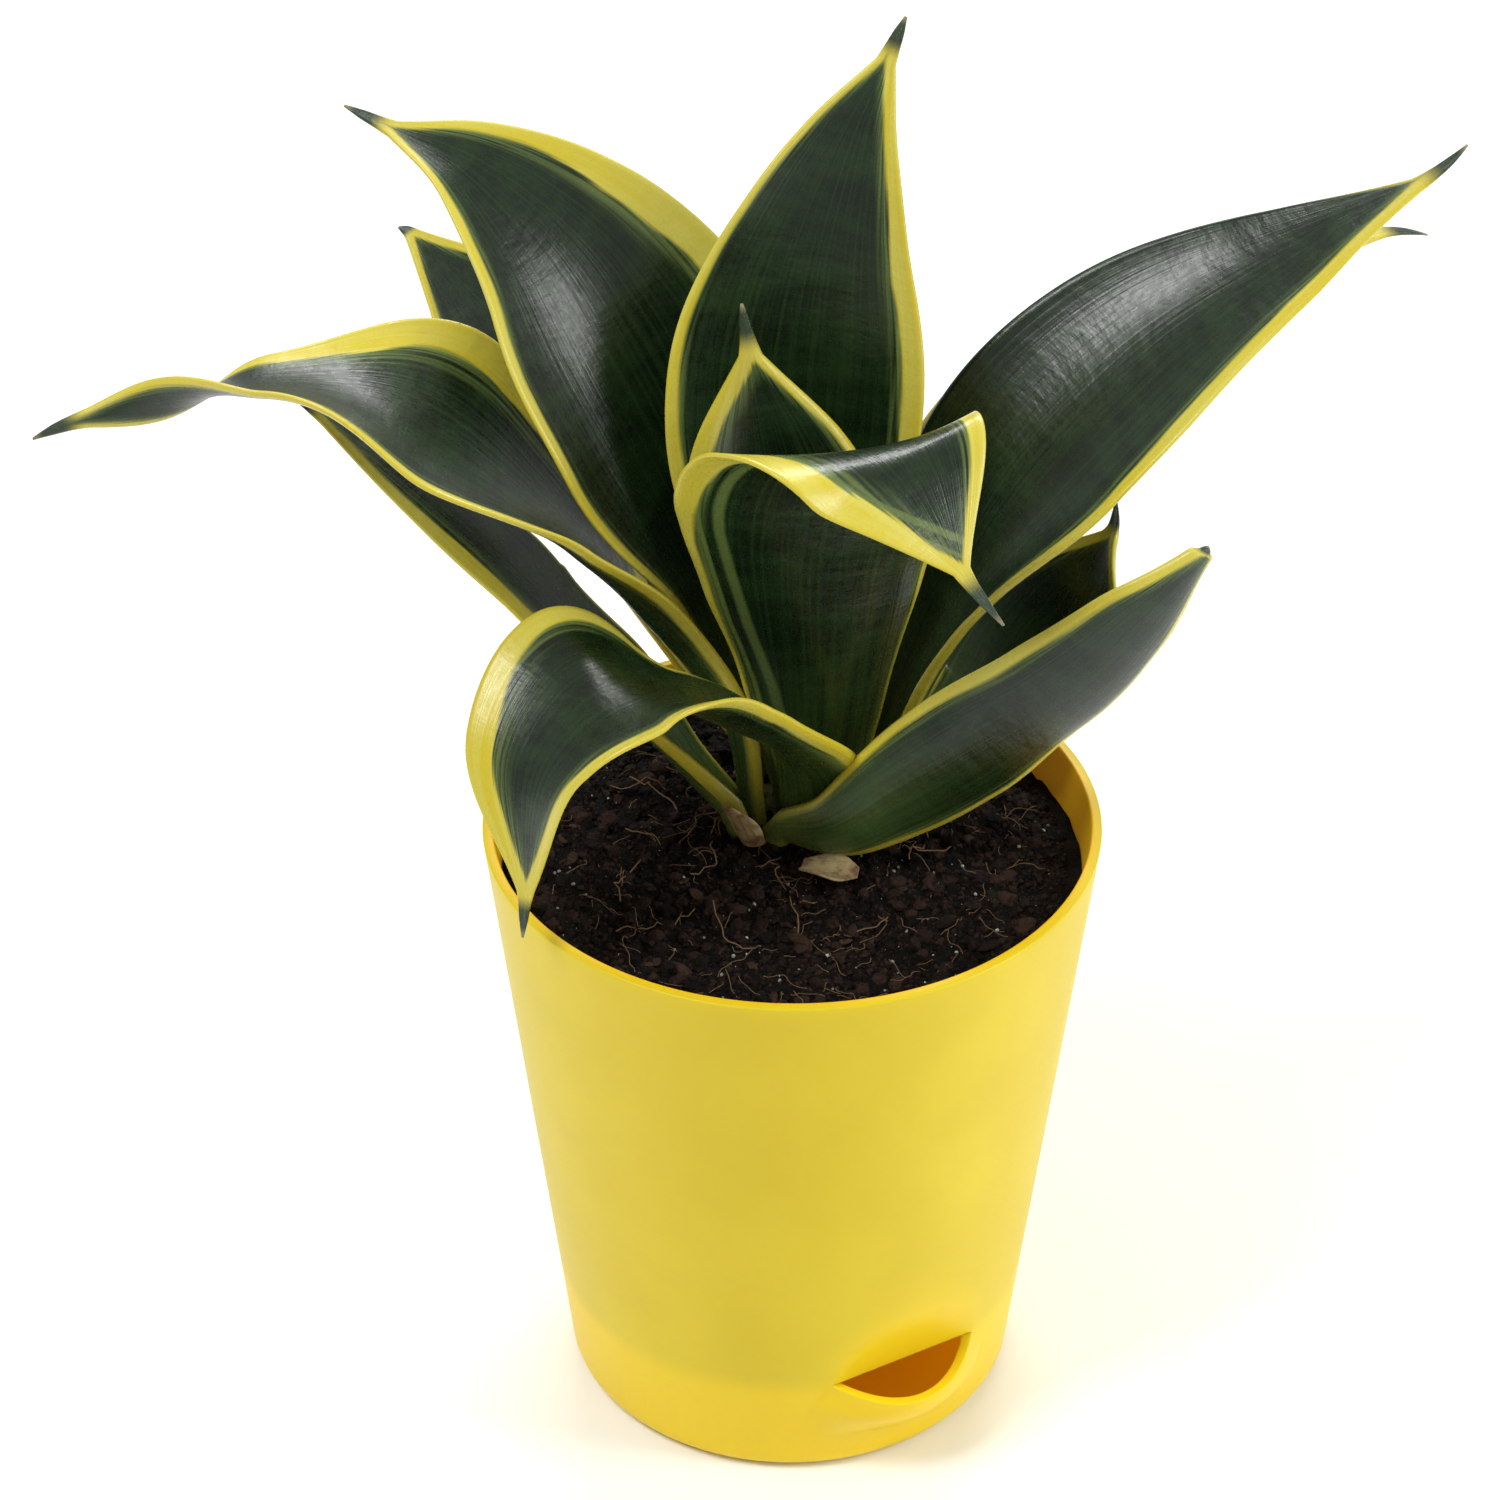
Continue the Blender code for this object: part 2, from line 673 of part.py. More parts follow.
def build_scale(name, scale, collection):
    share = np.linspace(0.0, 1.0, SCALE_ROWS)
    midrib = curve_through(placed(scale["midrib"]), SCALE_ROWS)
    axes = blade_axes(midrib, eased(scale["heading"], share), eased(scale["roll"], share))
    widths = flowing(scale["widths"], share) * PLANT_SCALE
    cups = np.radians(eased(scale["cup"], share))
    thicks = np.full(SCALE_ROWS, SCALE_THICK)
    margins = np.full(SCALE_ROWS, SCALE_MARGIN_THICK)
    top, bottom = blade_faces(midrib, axes, widths, cups, thicks, margins, SCALE_HALF_COLUMNS)
    rings = [np.vstack([upper, lower[::-1]]) for upper, lower in zip(top, bottom)]
    return add_object(name, skin(rings), collection, "scale")


def main():
    clear_scene()
    plant = new_collection("potted_snake_plant")
    cutters = new_collection("cutters", hidden=True)
    build_pot(plant)
    build_plate(plant, cutters)
    soil = build_soil(plant)
    build_crown(plant, cutters, soil)
    for name, leaf in LEAVES.items():
        build_leaf(name, leaf, plant)
    for name, scale in SCALES.items():
        build_scale(name, scale, plant)


main()
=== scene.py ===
import math

import bmesh
import bpy
import numpy as np
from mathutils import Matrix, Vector, noise


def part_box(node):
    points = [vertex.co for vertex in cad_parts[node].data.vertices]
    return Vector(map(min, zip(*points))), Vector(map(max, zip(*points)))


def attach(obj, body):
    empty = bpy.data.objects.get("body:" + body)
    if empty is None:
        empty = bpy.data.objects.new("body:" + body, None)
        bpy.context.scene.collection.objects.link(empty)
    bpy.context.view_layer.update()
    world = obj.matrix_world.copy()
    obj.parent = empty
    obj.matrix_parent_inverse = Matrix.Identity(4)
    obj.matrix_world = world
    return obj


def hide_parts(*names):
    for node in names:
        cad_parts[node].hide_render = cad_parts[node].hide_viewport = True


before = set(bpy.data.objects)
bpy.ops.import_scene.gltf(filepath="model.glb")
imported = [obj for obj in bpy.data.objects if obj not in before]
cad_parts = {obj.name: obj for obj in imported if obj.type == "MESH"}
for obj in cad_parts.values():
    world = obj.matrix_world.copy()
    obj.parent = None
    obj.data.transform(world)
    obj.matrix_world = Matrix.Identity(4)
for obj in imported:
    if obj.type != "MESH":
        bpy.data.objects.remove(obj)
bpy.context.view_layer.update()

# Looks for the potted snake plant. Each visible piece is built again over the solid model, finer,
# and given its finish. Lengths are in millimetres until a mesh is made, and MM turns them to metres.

MM = 0.001

# The pot
RIM_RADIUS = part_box("self_watering_pot")[1][0] / MM
POT_HEIGHT = 112.0
BASE_RADIUS = 38.5
WALL = 1.8
BASE_EDGE = 3.5
BASE_EDGE_STEPS = 8
EDGE_ROUNDING = 0.55
POT_COLUMNS = 288
INLET_HEADING = -60.0
INLET_HALF_ANGLE = 20.0
INLET_LEVEL = 21.0
SCOOP_HEIGHT = 15.0
INLET_ROWS = 14
LIP_HALF_ANGLE = 25.0
LIP_HEIGHT = 13.0
LIP_OUT = 5.4
LIP_DROP = 3.2
LIP_WIDEST = 0.4

# The soil and the crown
SOIL_TOP = POT_HEIGHT - 7.5
SOIL_GAP = 0.4
SOIL_SHOULDER = 45.0
MOUND_HEIGHT = 1.2
MOUND_RADIUS = 26.0
SOIL_COLUMNS = 180
SOIL_RINGS = 60
CRUMB_REACH = 47.0
SHORT_FIBRE_REACH = 42.0
LONG_FIBRE_REACH = 32.0
CROWN = (4.0, 14.0)
CROWN_RADIUS = 12.0
CROWN_HEIGHT = 7.0
CROWN_DEPTH = 3.0

# The leaves
LEAF_ROWS = 120
SPINE_ROWS = 12
FOOT_ROWS = 4
FOOT_DEPTH = 5.0
HALF_COLUMNS = 13
LEAF_THICKNESS = (2.4, 1.5)
LEAF_MARGIN = (0.9, 0.7)
LEAF_WAVE = 0.9

# The dry scales
SCALE_ROWS = 40
SCALE_HALF_COLUMNS = 8
SCALE_THICKNESS = (0.6, 0.5)
SCALE_MARGIN = (0.4, 0.3)
SCALE_WAVE = 1.2

# The studio, in metres
FLOOR_HALF_SIDE = 6.0
WORLD_STRENGTH = 0.44
CAMERA_PLACE = (-0.00707, -0.7322, 0.645)
CAMERA_DOWN = 35.33
CAMERA_LENS = 129.6

# "midrib", "heading", "roll", "cup" and "widths" are as in the solid model. "left" and "right" are
# the widths of the two yellow margins, below nothing where a margin stays green, and "stripes" is the
# strength of the pale lines beside the right margin. Left is the left-hand side for someone who looks
# from the crown along the leaf.
LEAVES = {
    "leaf_left_long": dict(
        midrib=[
            (-6.4, 11.4, 4),
            (-10.2, 12.5, 22),
            (-24, 13.5, 41),
            (-42, 17.5, 60),
            (-63, 20, 77),
            (-89, 21, 80),
            (-115, 20, 74),
        ],
        heading=[190, 190, 182, 175, 175],
        roll=[0, 26, 4, -14, 10, 105],
        cup=[40, 44, 30, 22, 20, 12],
        widths=[4.2, 6.0, 16.3, 19.5, 9, 1.4],
        spine=9,
        spine_bend=(-0.1, 0, -0.2),
        left=[1.0, 1.2, 1.4, 1.6, 1.2, 0.6],
        right=[1.5, 2.0, 3.4, 5.6, 5.8, 2.0, 0.8],
    ),
    "leaf_left_tall": dict(
        midrib=[(-3, 23, 4), (-12, 30.8, 40), (-24, 35, 70), (-38, 43, 92), (-53, 50, 104), (-66, 54, 109)],
        heading=[130, 142, 150],
        roll=[0, -8, -16, -22, -15],
        cup=[60, 45, 30, 25, 15],
        widths=[6, 12, 22, 24, 15, 1.4],
        spine=8,
        spine_bend=(-0.1, 0, 0.05),
        left=[1.4, 1.6, 1.8, 2.0, 1.8, 1.2],
        right=[1.5, 2.0, 2.6, 5.0, 5.6, 3.2, 1.2],
    ),
    "leaf_back_left": dict(
        midrib=[(-5, 29, 4), (-22, 46, 32), (-41, 62, 54), (-65, 78, 75)],
        heading=[125, 135],
        roll=[0],
        cup=[50, 30, 20],
        widths=[5, 13, 17, 20, 15, 1.4],
        spine=3,
        spine_bend=(-0.2, 0, -0.3),
        left=[1.2, 1.5, 1.6, 1.4],
        right=[1.5, 2.0, 2.4, 1.6],
    ),
    "leaf_centre_tall": dict(
        midrib=[(4, 20.4, 4), (2, 25, 35), (0, 30, 66), (3, 36, 92), (9, 42, 112), (15, 47, 125)],
        heading=[90],
        roll=[0],
        cup=[60, 50, 35, 25, 15],
        widths=[5.0, 11.6, 20, 21.5, 13, 1.4],
        spine=8,
        spine_bend=(0, 0, 0),
        left=[1.2, 1.8, 2.0, 1.6, 1.0, 0.8],
        right=[1.5, 2.4, 3.2, 3.8, 2.8, 1.4],
    ),
    "leaf_right_long": dict(
        midrib=[(13.8, 16.8, 4), (23, 21, 30), (38, 26, 56), (60, 33, 79), (84, 40, 94), (102, 44, 104)],
        heading=[18],
        roll=[0, 5, 15, 15, 5],
        cup=[60, 50, 35, 25, 15],
        widths=[6, 13.4, 21.4, 20.4, 12, 1.4],
        spine=11,
        spine_bend=(-0.1, 0, 0.1),
        left=[0.6, -0.2, -0.8, -0.8, -0.8, 0.4],
        right=[1.6, 2.2, 2.8, 3.0, 3.0, 1.8],
    ),
    "leaf_back_right": dict(
        midrib=[(11, 29, 4), (25, 42, 38), (48, 53, 62), (74, 65, 75), (100, 77, 76)],
        heading=[50, 36, 33],
        roll=[0],
        cup=[55, 40, 25, 15],
        widths=[5, 9, 14, 13, 8, 1.4],
        spine=10,
        spine_bend=(0.1, 0, -0.3),
        left=[1.5, 2, 2.4, 2],
        right=[1.5, 3, 4, 2.5],
    ),
    "leaf_centre_spear": dict(
        midrib=[(4, 13, 4), (1, 10.7, 36), (-3, 11.4, 64), (-7, 15, 89)],
        heading=[262],
        roll=[0],
        cup=[60, 55, 35, 20],
        widths=[5, 8, 15, 18, 13, 1.6],
        spine=9,
        spine_bend=(0, 0, 0),
        left=[1.0, 1.2, 1.4, 1.4, 1.2],
        right=[2, 4, 5.5, 4.6, 2.4],
    ),
    "leaf_front_folded": dict(
        midrib=[(4, 9.7, 4), (4, 5, 32), (4, -2, 64), (8, -9, 85), (15, -18, 90), (26, -30, 77)],
        heading=[270, 272, 275, 285, 296],
        roll=[0],
        cup=[60, 45, 35, 18, 6, 4],
        widths=[7.5, 13, 19, 24, 19, 1.4],
        spine=8,
        spine_bend=(0.3, 0.2, -0.4),
        left=[1.2, 1.4, 1.6, 4.5, 3.0, 1.6],
        right=[1.6, 1.8, 2.0, 3.5, 6.5, 3.0],
        stripes=1.0,
    ),
    "leaf_left_low": dict(
        midrib=[
            (-10.5, 7.2, 5.2),
            (-17, 10, 11.5),
            (-27, 14.5, 23),
            (-42, 19, 41),
            (-59, 23, 57),
            (-77, 28, 69),
        ],
        heading=[205, 190, 178, 168],
        roll=[0, -10, -10, -10],
        cup=[40, 30, 0, -12, -12],
        widths=[7.2, 9.6, 10.5, 10, 7, 1.4],
        spine=8,
        spine_bend=(0, 0, 0),
        left=[2.0, 2.6, 3.4, 2.6, 1.2],
        right=[0.6, 0.4, 0.2, 0.2, 0.4],
    ),
    "leaf_front_left": dict(
        midrib=[(4, 5.0, 4), (3, 0.4, 19), (-12, -8.5, 35), (-30, -16, 46), (-42, -26, 38), (-43.5, -36, 19)],
        heading=[262, 248, 225, 222],
        roll=[0, -14, -6, 3, 0],
        cup=[50, 34, 20, 15],
        widths=[6, 8.6, 14, 19, 13, 1.4],
        spine=6,
        spine_bend=(0, 0, -0.3),
        left=[1.6, 1.8, 1.8, 2.0, 2.4, 1.8],
        right=[-0.8, -0.8, 0.3, 3.4, 5.0, 2.4],
    ),
    "leaf_front_right": dict(
        midrib=[
            (-1, 1.1, 5.3),
            (7, -5.1, 9.0),
            (17, -5.3, 15.6),
            (34, -5.1, 28),
            (47, -4.4, 38.5),
            (58, -3.6, 51.5),
            (66, -2, 62),
        ],
        heading=[-26, -12, -5, 2, 5, 8],
        roll=[-82, -88, -84, -77, -76, -65],
        cup=[35],
        widths=[2.6, 7.4, 11, 12, 11.5, 8.4, 2.4],
        spine=1.5,
        spine_bend=(0, 0, 0),
        left=[1.6, 2.4, 2.6, 1.8],
        right=[1.0, 1.4, 1.6, 1.5, 1.4],
    ),
    "leaf_right_low": dict(
        midrib=[(19.3, 14, 4.8), (24.3, 18, 10.5), (33, 22, 15), (43, 28, 25), (54, 37, 40)],
        heading=[-8, 22, 28],
        roll=[0, 30, 22, 0],
        cup=[60, 35, 30],
        widths=[5.5, 9, 14, 16, 12, 1.6],
        spine=4,
        spine_bend=(-0.3, 0, 0.8),
        left=[1.8, 2.4, 2.8, 2.4],
        right=[1.6, 1.8, 2.0, 1.8],
    ),
}

SCALES = {
    "dry_scale_front": dict(
        midrib=[(1.5, -7.3, 3), (6, -8.7, 3.4), (11, -9.5, 3.1)],
        heading=[-60],
        roll=[0],
        cup=[35, 20],
        widths=[1.6, 3.2, 3.4, 1.2],
    ),
    "dry_scale_left": dict(
        midrib=[(-7.2, -1.2, 3), (-9.2, -1.8, 8), (-11, -3, 12)],
        heading=[230],
        roll=[0],
        cup=[50, 35],
        widths=[3.0, 3.6, 3.2, 1.2],
    ),
}


# ---------------------------------------------------------------- node trees


def colour(red, green, blue):
    """A colour given as 0 to 255 on a display, as the linear values that nodes take."""
    linear = []
    for value in (red, green, blue):
        part = value / 255.0
        linear.append(part / 12.92 if part < 0.04045 else ((part + 0.055) / 1.055) ** 2.4)
    return (*linear, 1.0)


class Graph:
    """Adds nodes to a tree. An input may be a plain value or another node's output."""

    def __init__(self, tree):
        self.tree = tree

    def feed(self, socket, value):
        if isinstance(value, bpy.types.NodeSocket):
            self.tree.links.new(value, socket)
        elif value is not None:
            socket.default_value = value

    def node(self, kind, inputs=None, **settings):
        made = self.tree.nodes.new(kind)
        for name, value in settings.items():
            setattr(made, name, value)
        for key, value in (inputs or {}).items():
            self.feed(made.inputs[key], value)
        return made

    def maths(self, operation, *values):
        return self.node("ShaderNodeMath", dict(enumerate(values)), operation=operation).outputs[0]

    def vector(self, operation, *values):
        return self.node("ShaderNodeVectorMath", dict(enumerate(values)), operation=operation).outputs[0]

    def mix(self, share, first, second):
        made = self.node("ShaderNodeMix", data_type="RGBA")
        for socket, value in zip((made.inputs[0], made.inputs[6], made.inputs[7]), (share, first, second)):
            self.feed(socket, value)
        return made.outputs[2]

    def between(self, value, low, high, first=0.0, last=1.0):
        """first up to low, last from high on, and a smooth change from one to the other."""
        inputs = dict(enumerate((value, low, high, first, last)))
        return self.node("ShaderNodeMapRange", inputs, interpolation_type="SMOOTHSTEP").outputs[0]

    def noise(self, vector, scale=1.0, detail=2.0, roughness=0.5):
        inputs = {"Vector": vector, "Scale": scale, "Detail": detail, "Roughness": roughness}
        return self.node("ShaderNodeTexNoise", inputs).outputs[0]

    def parts(self, vector):
        return self.node("ShaderNodeSeparateXYZ", {0: vector}).outputs

    def joined(self, parts):
        """A vector from its parts, given by their numbers."""
        return self.node("ShaderNodeCombineXYZ", parts).outputs[0]

    def attribute(self, name):
        return self.node("ShaderNodeAttribute", attribute_name=name).outputs["Vector"]

    def bump(self, height, distance, strength):
        inputs = {"Height": height, "Distance": distance, "Strength": strength}
        return self.node("ShaderNodeBump", inputs).outputs[0]


def new_material(name):
    """(material, its graph, its shader node, the piece's own coordinates in millimetres)"""
    made = bpy.data.materials.new(name)
    made.use_nodes = True
    graph = Graph(made.node_tree)
    shader = made.node_tree.nodes["Principled BSDF"]
    place = graph.vector("SCALE", graph.node("ShaderNodeTexCoord").outputs["Object"])
    place.node.inputs["Scale"].default_value = 1.0 / MM
    return made, graph, shader, place


def variegated_leaf():
    """Dark green blade, streaky yellow margins, pale inner lines, fine ribs along the blade."""
    made, graph, shader, _ = new_material("variegated_leaf")
    place = graph.attribute("place")
    across, along, seed = graph.parts(place)[:3]
    from_left, from_right, spine = graph.parts(graph.attribute("margins"))[:3]
    band_left, band_right, stripes = graph.parts(graph.attribute("bands"))[:3]
    width = graph.maths("MAXIMUM", graph.maths("ADD", from_left, from_right), 0.5)
    share = graph.maths("DIVIDE", across, width)
    lined = graph.joined({0: graph.maths("MULTIPLY", share, 30.0), 1: along, 2: seed})
    streak = graph.noise(graph.vector("MULTIPLY", lined, (0.8, 0.03, 5.0)), 1.0, 3.0, 0.6)
    fine_streak = graph.noise(graph.vector("MULTIPLY", lined, (1.6, 0.035, 9.0)), 1.0, 2.0, 0.5)
    wander = graph.noise(graph.vector("MULTIPLY", lined, (0.02, 0.045, 3.0)), 1.0, 2.0, 0.5)
    yellow = None
    pale = None
    for distance, band in ((from_left, band_left), (from_right, band_right)):
        swing = graph.maths("MULTIPLY_ADD", wander, 0.8, 0.6)
        reach = graph.maths("MULTIPLY_ADD", band, 0.45, 0.35)
        ragged = graph.maths("MULTIPLY", graph.maths("SUBTRACT", streak, 0.5), reach)
        edge = graph.maths("MULTIPLY_ADD", band, swing, ragged)
        depth = graph.maths("SUBTRACT", edge, distance)
        this_yellow = graph.between(depth, -0.45, 0.45)
        start = graph.maths("MINIMUM", graph.maths("MULTIPLY_ADD", band, -0.8, -0.6), -0.3)
        fade = graph.between(depth, start, 0.0)
        this_pale = graph.maths("MULTIPLY", fade, graph.between(fine_streak, 0.36, 0.62))
        yellow = this_yellow if yellow is None else graph.maths("MAXIMUM", yellow, this_yellow)
        pale = this_pale if pale is None else graph.maths("MAXIMUM", pale, this_pale)
    line_shift = graph.maths("MULTIPLY_ADD", wander, 1.6, graph.maths("ADD", from_right, -0.8))
    for middle, half, strength in ((3.9, 0.5, 0.9), (7.2, 0.9, 0.8)):
        off = graph.maths("ABSOLUTE", graph.maths("SUBTRACT", line_shift, middle))
        line = graph.maths("MULTIPLY", graph.between(off, half * 0.5, half * 1.5, 1.0, 0.0), strength)
        pale = graph.maths("MAXIMUM", pale, graph.maths("MULTIPLY", line, stripes))
    mottle = graph.noise(graph.vector("MULTIPLY", place, (0.07, 0.16, 2.0)), 1.0, 4.0, 0.6)
    ribs = graph.noise(graph.vector("MULTIPLY", lined, (1.9, 0.02, 4.0)), 1.0, 2.0, 0.6)
    green = graph.mix(graph.between(mottle, 0.38, 0.66), colour(11, 26, 9), colour(24, 44, 18))
    ribbed = graph.maths("MULTIPLY", graph.between(ribs, 0.4, 0.75), 0.35)
    green = graph.mix(ribbed, green, colour(46, 70, 34))
    near_foot = graph.between(along, 4.0, 42.0, 0.75, 0.0)
    low = graph.maths("MULTIPLY", near_foot, graph.between(streak, 0.3, 0.6, 0.4, 1.0))
    green = graph.mix(low, green, colour(78, 104, 50))
    green = graph.mix(graph.maths("MULTIPLY", pale, 0.7), green, colour(118, 136, 70))
    tint = graph.noise(graph.vector("MULTIPLY", lined, (0.5, 0.03, 1.0)), 1.0, 2.0, 0.5)
    gold = graph.mix(graph.between(tint, 0.3, 0.7), colour(202, 184, 42), colour(206, 196, 84))
    skin = graph.mix(yellow, green, gold)
    foot = graph.between(along, -2.0, 11.0, 0.6, 0.0)
    skin = graph.mix(foot, skin, colour(112, 124, 58))
    skin = graph.mix(graph.between(spine, 0.05, 0.5), skin, colour(38, 56, 30))
    skin = graph.mix(graph.between(spine, 0.8, 1.0), skin, colour(140, 130, 100))
    graph.feed(shader.inputs["Base Color"], skin)
    dust = graph.noise(graph.vector("MULTIPLY", place, (1.1, 0.5, 1.0)), 1.0, 4.0, 0.7)
    graph.feed(shader.inputs["Roughness"], graph.between(dust, 0.3, 0.8, 0.24, 0.38))
    relief = graph.maths("MULTIPLY_ADD", ribs, 0.5, graph.maths("MULTIPLY", mottle, 2.2))
    graph.feed(shader.inputs["Normal"], graph.bump(relief, 0.14 * MM, 0.9))
    shader.inputs["Specular IOR Level"].default_value = 0.5
    shader.inputs["Subsurface Weight"].default_value = 0.1
    shader.inputs["Subsurface Radius"].default_value = (1.0, 0.9, 0.3)
    shader.inputs["Subsurface Scale"].default_value = 1.0 * MM
    return made


def pot_plastic():
    """Yellow plastic with painted light: painted shade where soil lies behind it, and a painted glow round
    the inlet and on its inner faces for the light through the wall.
    """
    made, graph, shader, place = new_material("yellow_pot_plastic")
    height = graph.parts(place)[2]
    painted_glow, painted_inner_light = graph.parts(graph.attribute("painted_glow"))[:2]
    cloud = graph.noise(place, 0.035, 2.0, 0.5)
    # Painted shade: above the inlet level, where soil lies behind the wall, the yellow is painted duller;
    # below it the brighter yellow is painted light through the empty reservoir.
    level = graph.maths("MULTIPLY_ADD", cloud, 3.0, height)
    upper = graph.mix(graph.between(cloud, 0.35, 0.65), colour(216, 191, 22), colour(221, 197, 28))
    lower = colour(236, 204, 20)
    skin = graph.mix(graph.between(level, INLET_LEVEL - 1.5, INLET_LEVEL + 4.5), lower, upper)
    # Painted glow: brighter yellow round the inlet, for light coming through the wall.
    skin = graph.mix(painted_glow, skin, colour(240, 204, 16))
    # Painted glow: deeper orange on the inner faces, for light coming through the wall.
    skin = graph.mix(painted_inner_light, skin, colour(238, 192, 20))
    graph.feed(shader.inputs["Base Color"], skin)
    # Painted glow: the inner faces emit light, strongest low down by the inlet, though they are no lamp.
    painted_light_fade = graph.between(height, INLET_LEVEL - 1.0, INLET_LEVEL + 6.0, 0.62, 0.05)
    graph.feed(shader.inputs["Emission Color"], colour(244, 186, 66))
    graph.feed(shader.inputs["Emission Strength"], graph.maths("MULTIPLY", painted_inner_light, painted_light_fade))
    grain = graph.noise(place, 2.2, 3.0, 0.6)
    graph.feed(shader.inputs["Roughness"], graph.between(grain, 0.3, 0.7, 0.36, 0.46))
    graph.feed(shader.inputs["Normal"], graph.bump(grain, 0.02 * MM, 0.5))
    shader.inputs["Subsurface Weight"].default_value = 0.25
    shader.inputs["Subsurface Radius"].default_value = (1.0, 0.7, 0.15)
    shader.inputs["Subsurface Scale"].default_value = 3.0 * MM
    shader.inputs["Specular IOR Level"].default_value = 0.35
    return made


def soil_finish(name, dark, light, rough=0.95):
    """Crumbly earth: the tone of each crumb differs, and so does each grain in it."""
    made, graph, shader, place = new_material(name)
    tone = graph.parts(graph.attribute("tone"))[0]
    grain = graph.noise(place, 1.6, 5.0, 0.65)
    patch = graph.noise(place, 0.09, 2.0, 0.5)
    share = graph.maths("MULTIPLY_ADD", tone, 0.45, graph.maths("MULTIPLY", grain, 0.55))
    share = graph.maths("MULTIPLY_ADD", patch, 0.3, graph.maths("SUBTRACT", share, 0.15))
    skin = graph.mix(graph.between(share, 0.3, 0.85), dark, light)
    graph.feed(shader.inputs["Base Color"], skin)
    graph.feed(shader.inputs["Roughness"], graph.between(grain, 0.3, 0.7, rough, rough - 0.25))
    graph.feed(shader.inputs["Normal"], graph.bump(grain, 0.35 * MM, 1.0))
    shader.inputs["Specular IOR Level"].default_value = 0.15
    return made


def dry_tissue(name, light, dark, vein):
    """Papery plant skin with veins along it."""
    made, graph, shader, _ = new_material(name)
    place = graph.attribute("place")
    veins = graph.noise(graph.vector("MULTIPLY", place, (2.2, 0.12, 3.0)), 1.0, 3.0, 0.6)
    blotch = graph.noise(place, 0.35, 3.0, 0.6)
    skin = graph.mix(graph.between(blotch, 0.35, 0.68), light, dark)
    skin = graph.mix(graph.maths("MULTIPLY", graph.between(veins, 0.5, 0.7), 0.6), skin, vein)
    graph.feed(shader.inputs["Base Color"], skin)
    graph.feed(shader.inputs["Roughness"], graph.between(blotch, 0.3, 0.7, 0.7, 0.85))
    graph.feed(shader.inputs["Normal"], graph.bump(veins, 0.15 * MM, 1.0))
    return made


# ---------------------------------------------------------------- meshes


def new_object(name, mesh, finish):
    made = bpy.data.objects.new(name, mesh)
    bpy.context.scene.collection.objects.link(made)
    mesh.materials.clear()
    mesh.materials.append(finish)
    return made


def settle(piece, slot, *nodes):
    """The piece moves with the plant and stands for those nodes. The slot is not used."""
    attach(piece, "root")
    if nodes:
        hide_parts(*nodes)


def store(mesh, name, rows):
    """A vector at each point of a mesh."""
    made = mesh.attributes.new(name, "FLOAT_VECTOR", "POINT")
    made.data.foreach_set("vector", np.asarray(rows, np.float32).ravel())


def curve_through(points, count):
    """Evenly spaced points along a centripetal Catmull-Rom curve through the given ones."""
    known = np.asarray(points, float)
    ends = np.vstack([2 * known[0] - known[1], known, 2 * known[-1] - known[-2]])
    steps = np.linalg.norm(np.diff(ends, axis=0), axis=1) ** 0.5
    knots = np.concatenate([[0.0], np.cumsum(steps)])
    fine = []
    for i in range(1, len(known)):
        t0, t1, t2, t3 = knots[i - 1 : i + 3]
        p0, p1, p2, p3 = ends[i - 1 : i + 3]
        for x in np.linspace(t1, t2, 40, endpoint=False):
            a1 = (t1 - x) / (t1 - t0) * p0 + (x - t0) / (t1 - t0) * p1
            a2 = (t2 - x) / (t2 - t1) * p1 + (x - t1) / (t2 - t1) * p2
            a3 = (t3 - x) / (t3 - t2) * p2 + (x - t2) / (t3 - t2) * p3
            b1 = (t2 - x) / (t2 - t0) * a1 + (x - t0) / (t2 - t0) * a2
            b2 = (t3 - x) / (t3 - t1) * a2 + (x - t1) / (t3 - t1) * a3
            fine.append((t2 - x) / (t2 - t1) * b1 + (x - t1) / (t2 - t1) * b2)
    fine = np.array(fine + [known[-1]])
    lengths = np.concatenate([[0.0], np.cumsum(np.linalg.norm(np.diff(fine, axis=0), axis=1))])
    wanted = np.linspace(0.0, lengths[-1], count)
    return np.stack([np.interp(wanted, lengths, fine[:, k]) for k in range(3)], axis=1), wanted


def eased(values, share):
    """Values spread evenly along the leaf, eased from each to the next."""
    values = np.asarray(values, float)
    if len(values) == 1:
        return np.full_like(share, values[0])
    x = share * (len(values) - 1)
    i = np.minimum(x.astype(int), len(values) - 2)
    f = x - i
    f = f * f * (3.0 - 2.0 * f)
    return values[i] * (1.0 - f) + values[i + 1] * f


def flowing(values, share, least=1.1):
    """Values spread evenly along the leaf, joined by a smooth curve with no flats."""
    values = np.asarray(values, float)
    ends = np.concatenate([[2 * values[0] - values[1]], values, [2 * values[-1] - values[-2]]])
    x = share * (len(values) - 1)
    i = np.minimum(x.astype(int), len(values) - 2)
    f = x - i
    p0, p1, p2, p3 = ends[i], ends[i + 1], ends[i + 2], ends[i + 3]
    curve = 2 * p1 + (p2 - p0) * f
    curve += (2 * p0 - 5 * p1 + 4 * p2 - p3) * f**2
    curve += (3 * p1 - p0 - 3 * p2 + p3) * f**3
    return np.maximum(curve / 2, least)


def unit(vectors):
    return vectors / np.linalg.norm(vectors, axis=-1)[..., None]


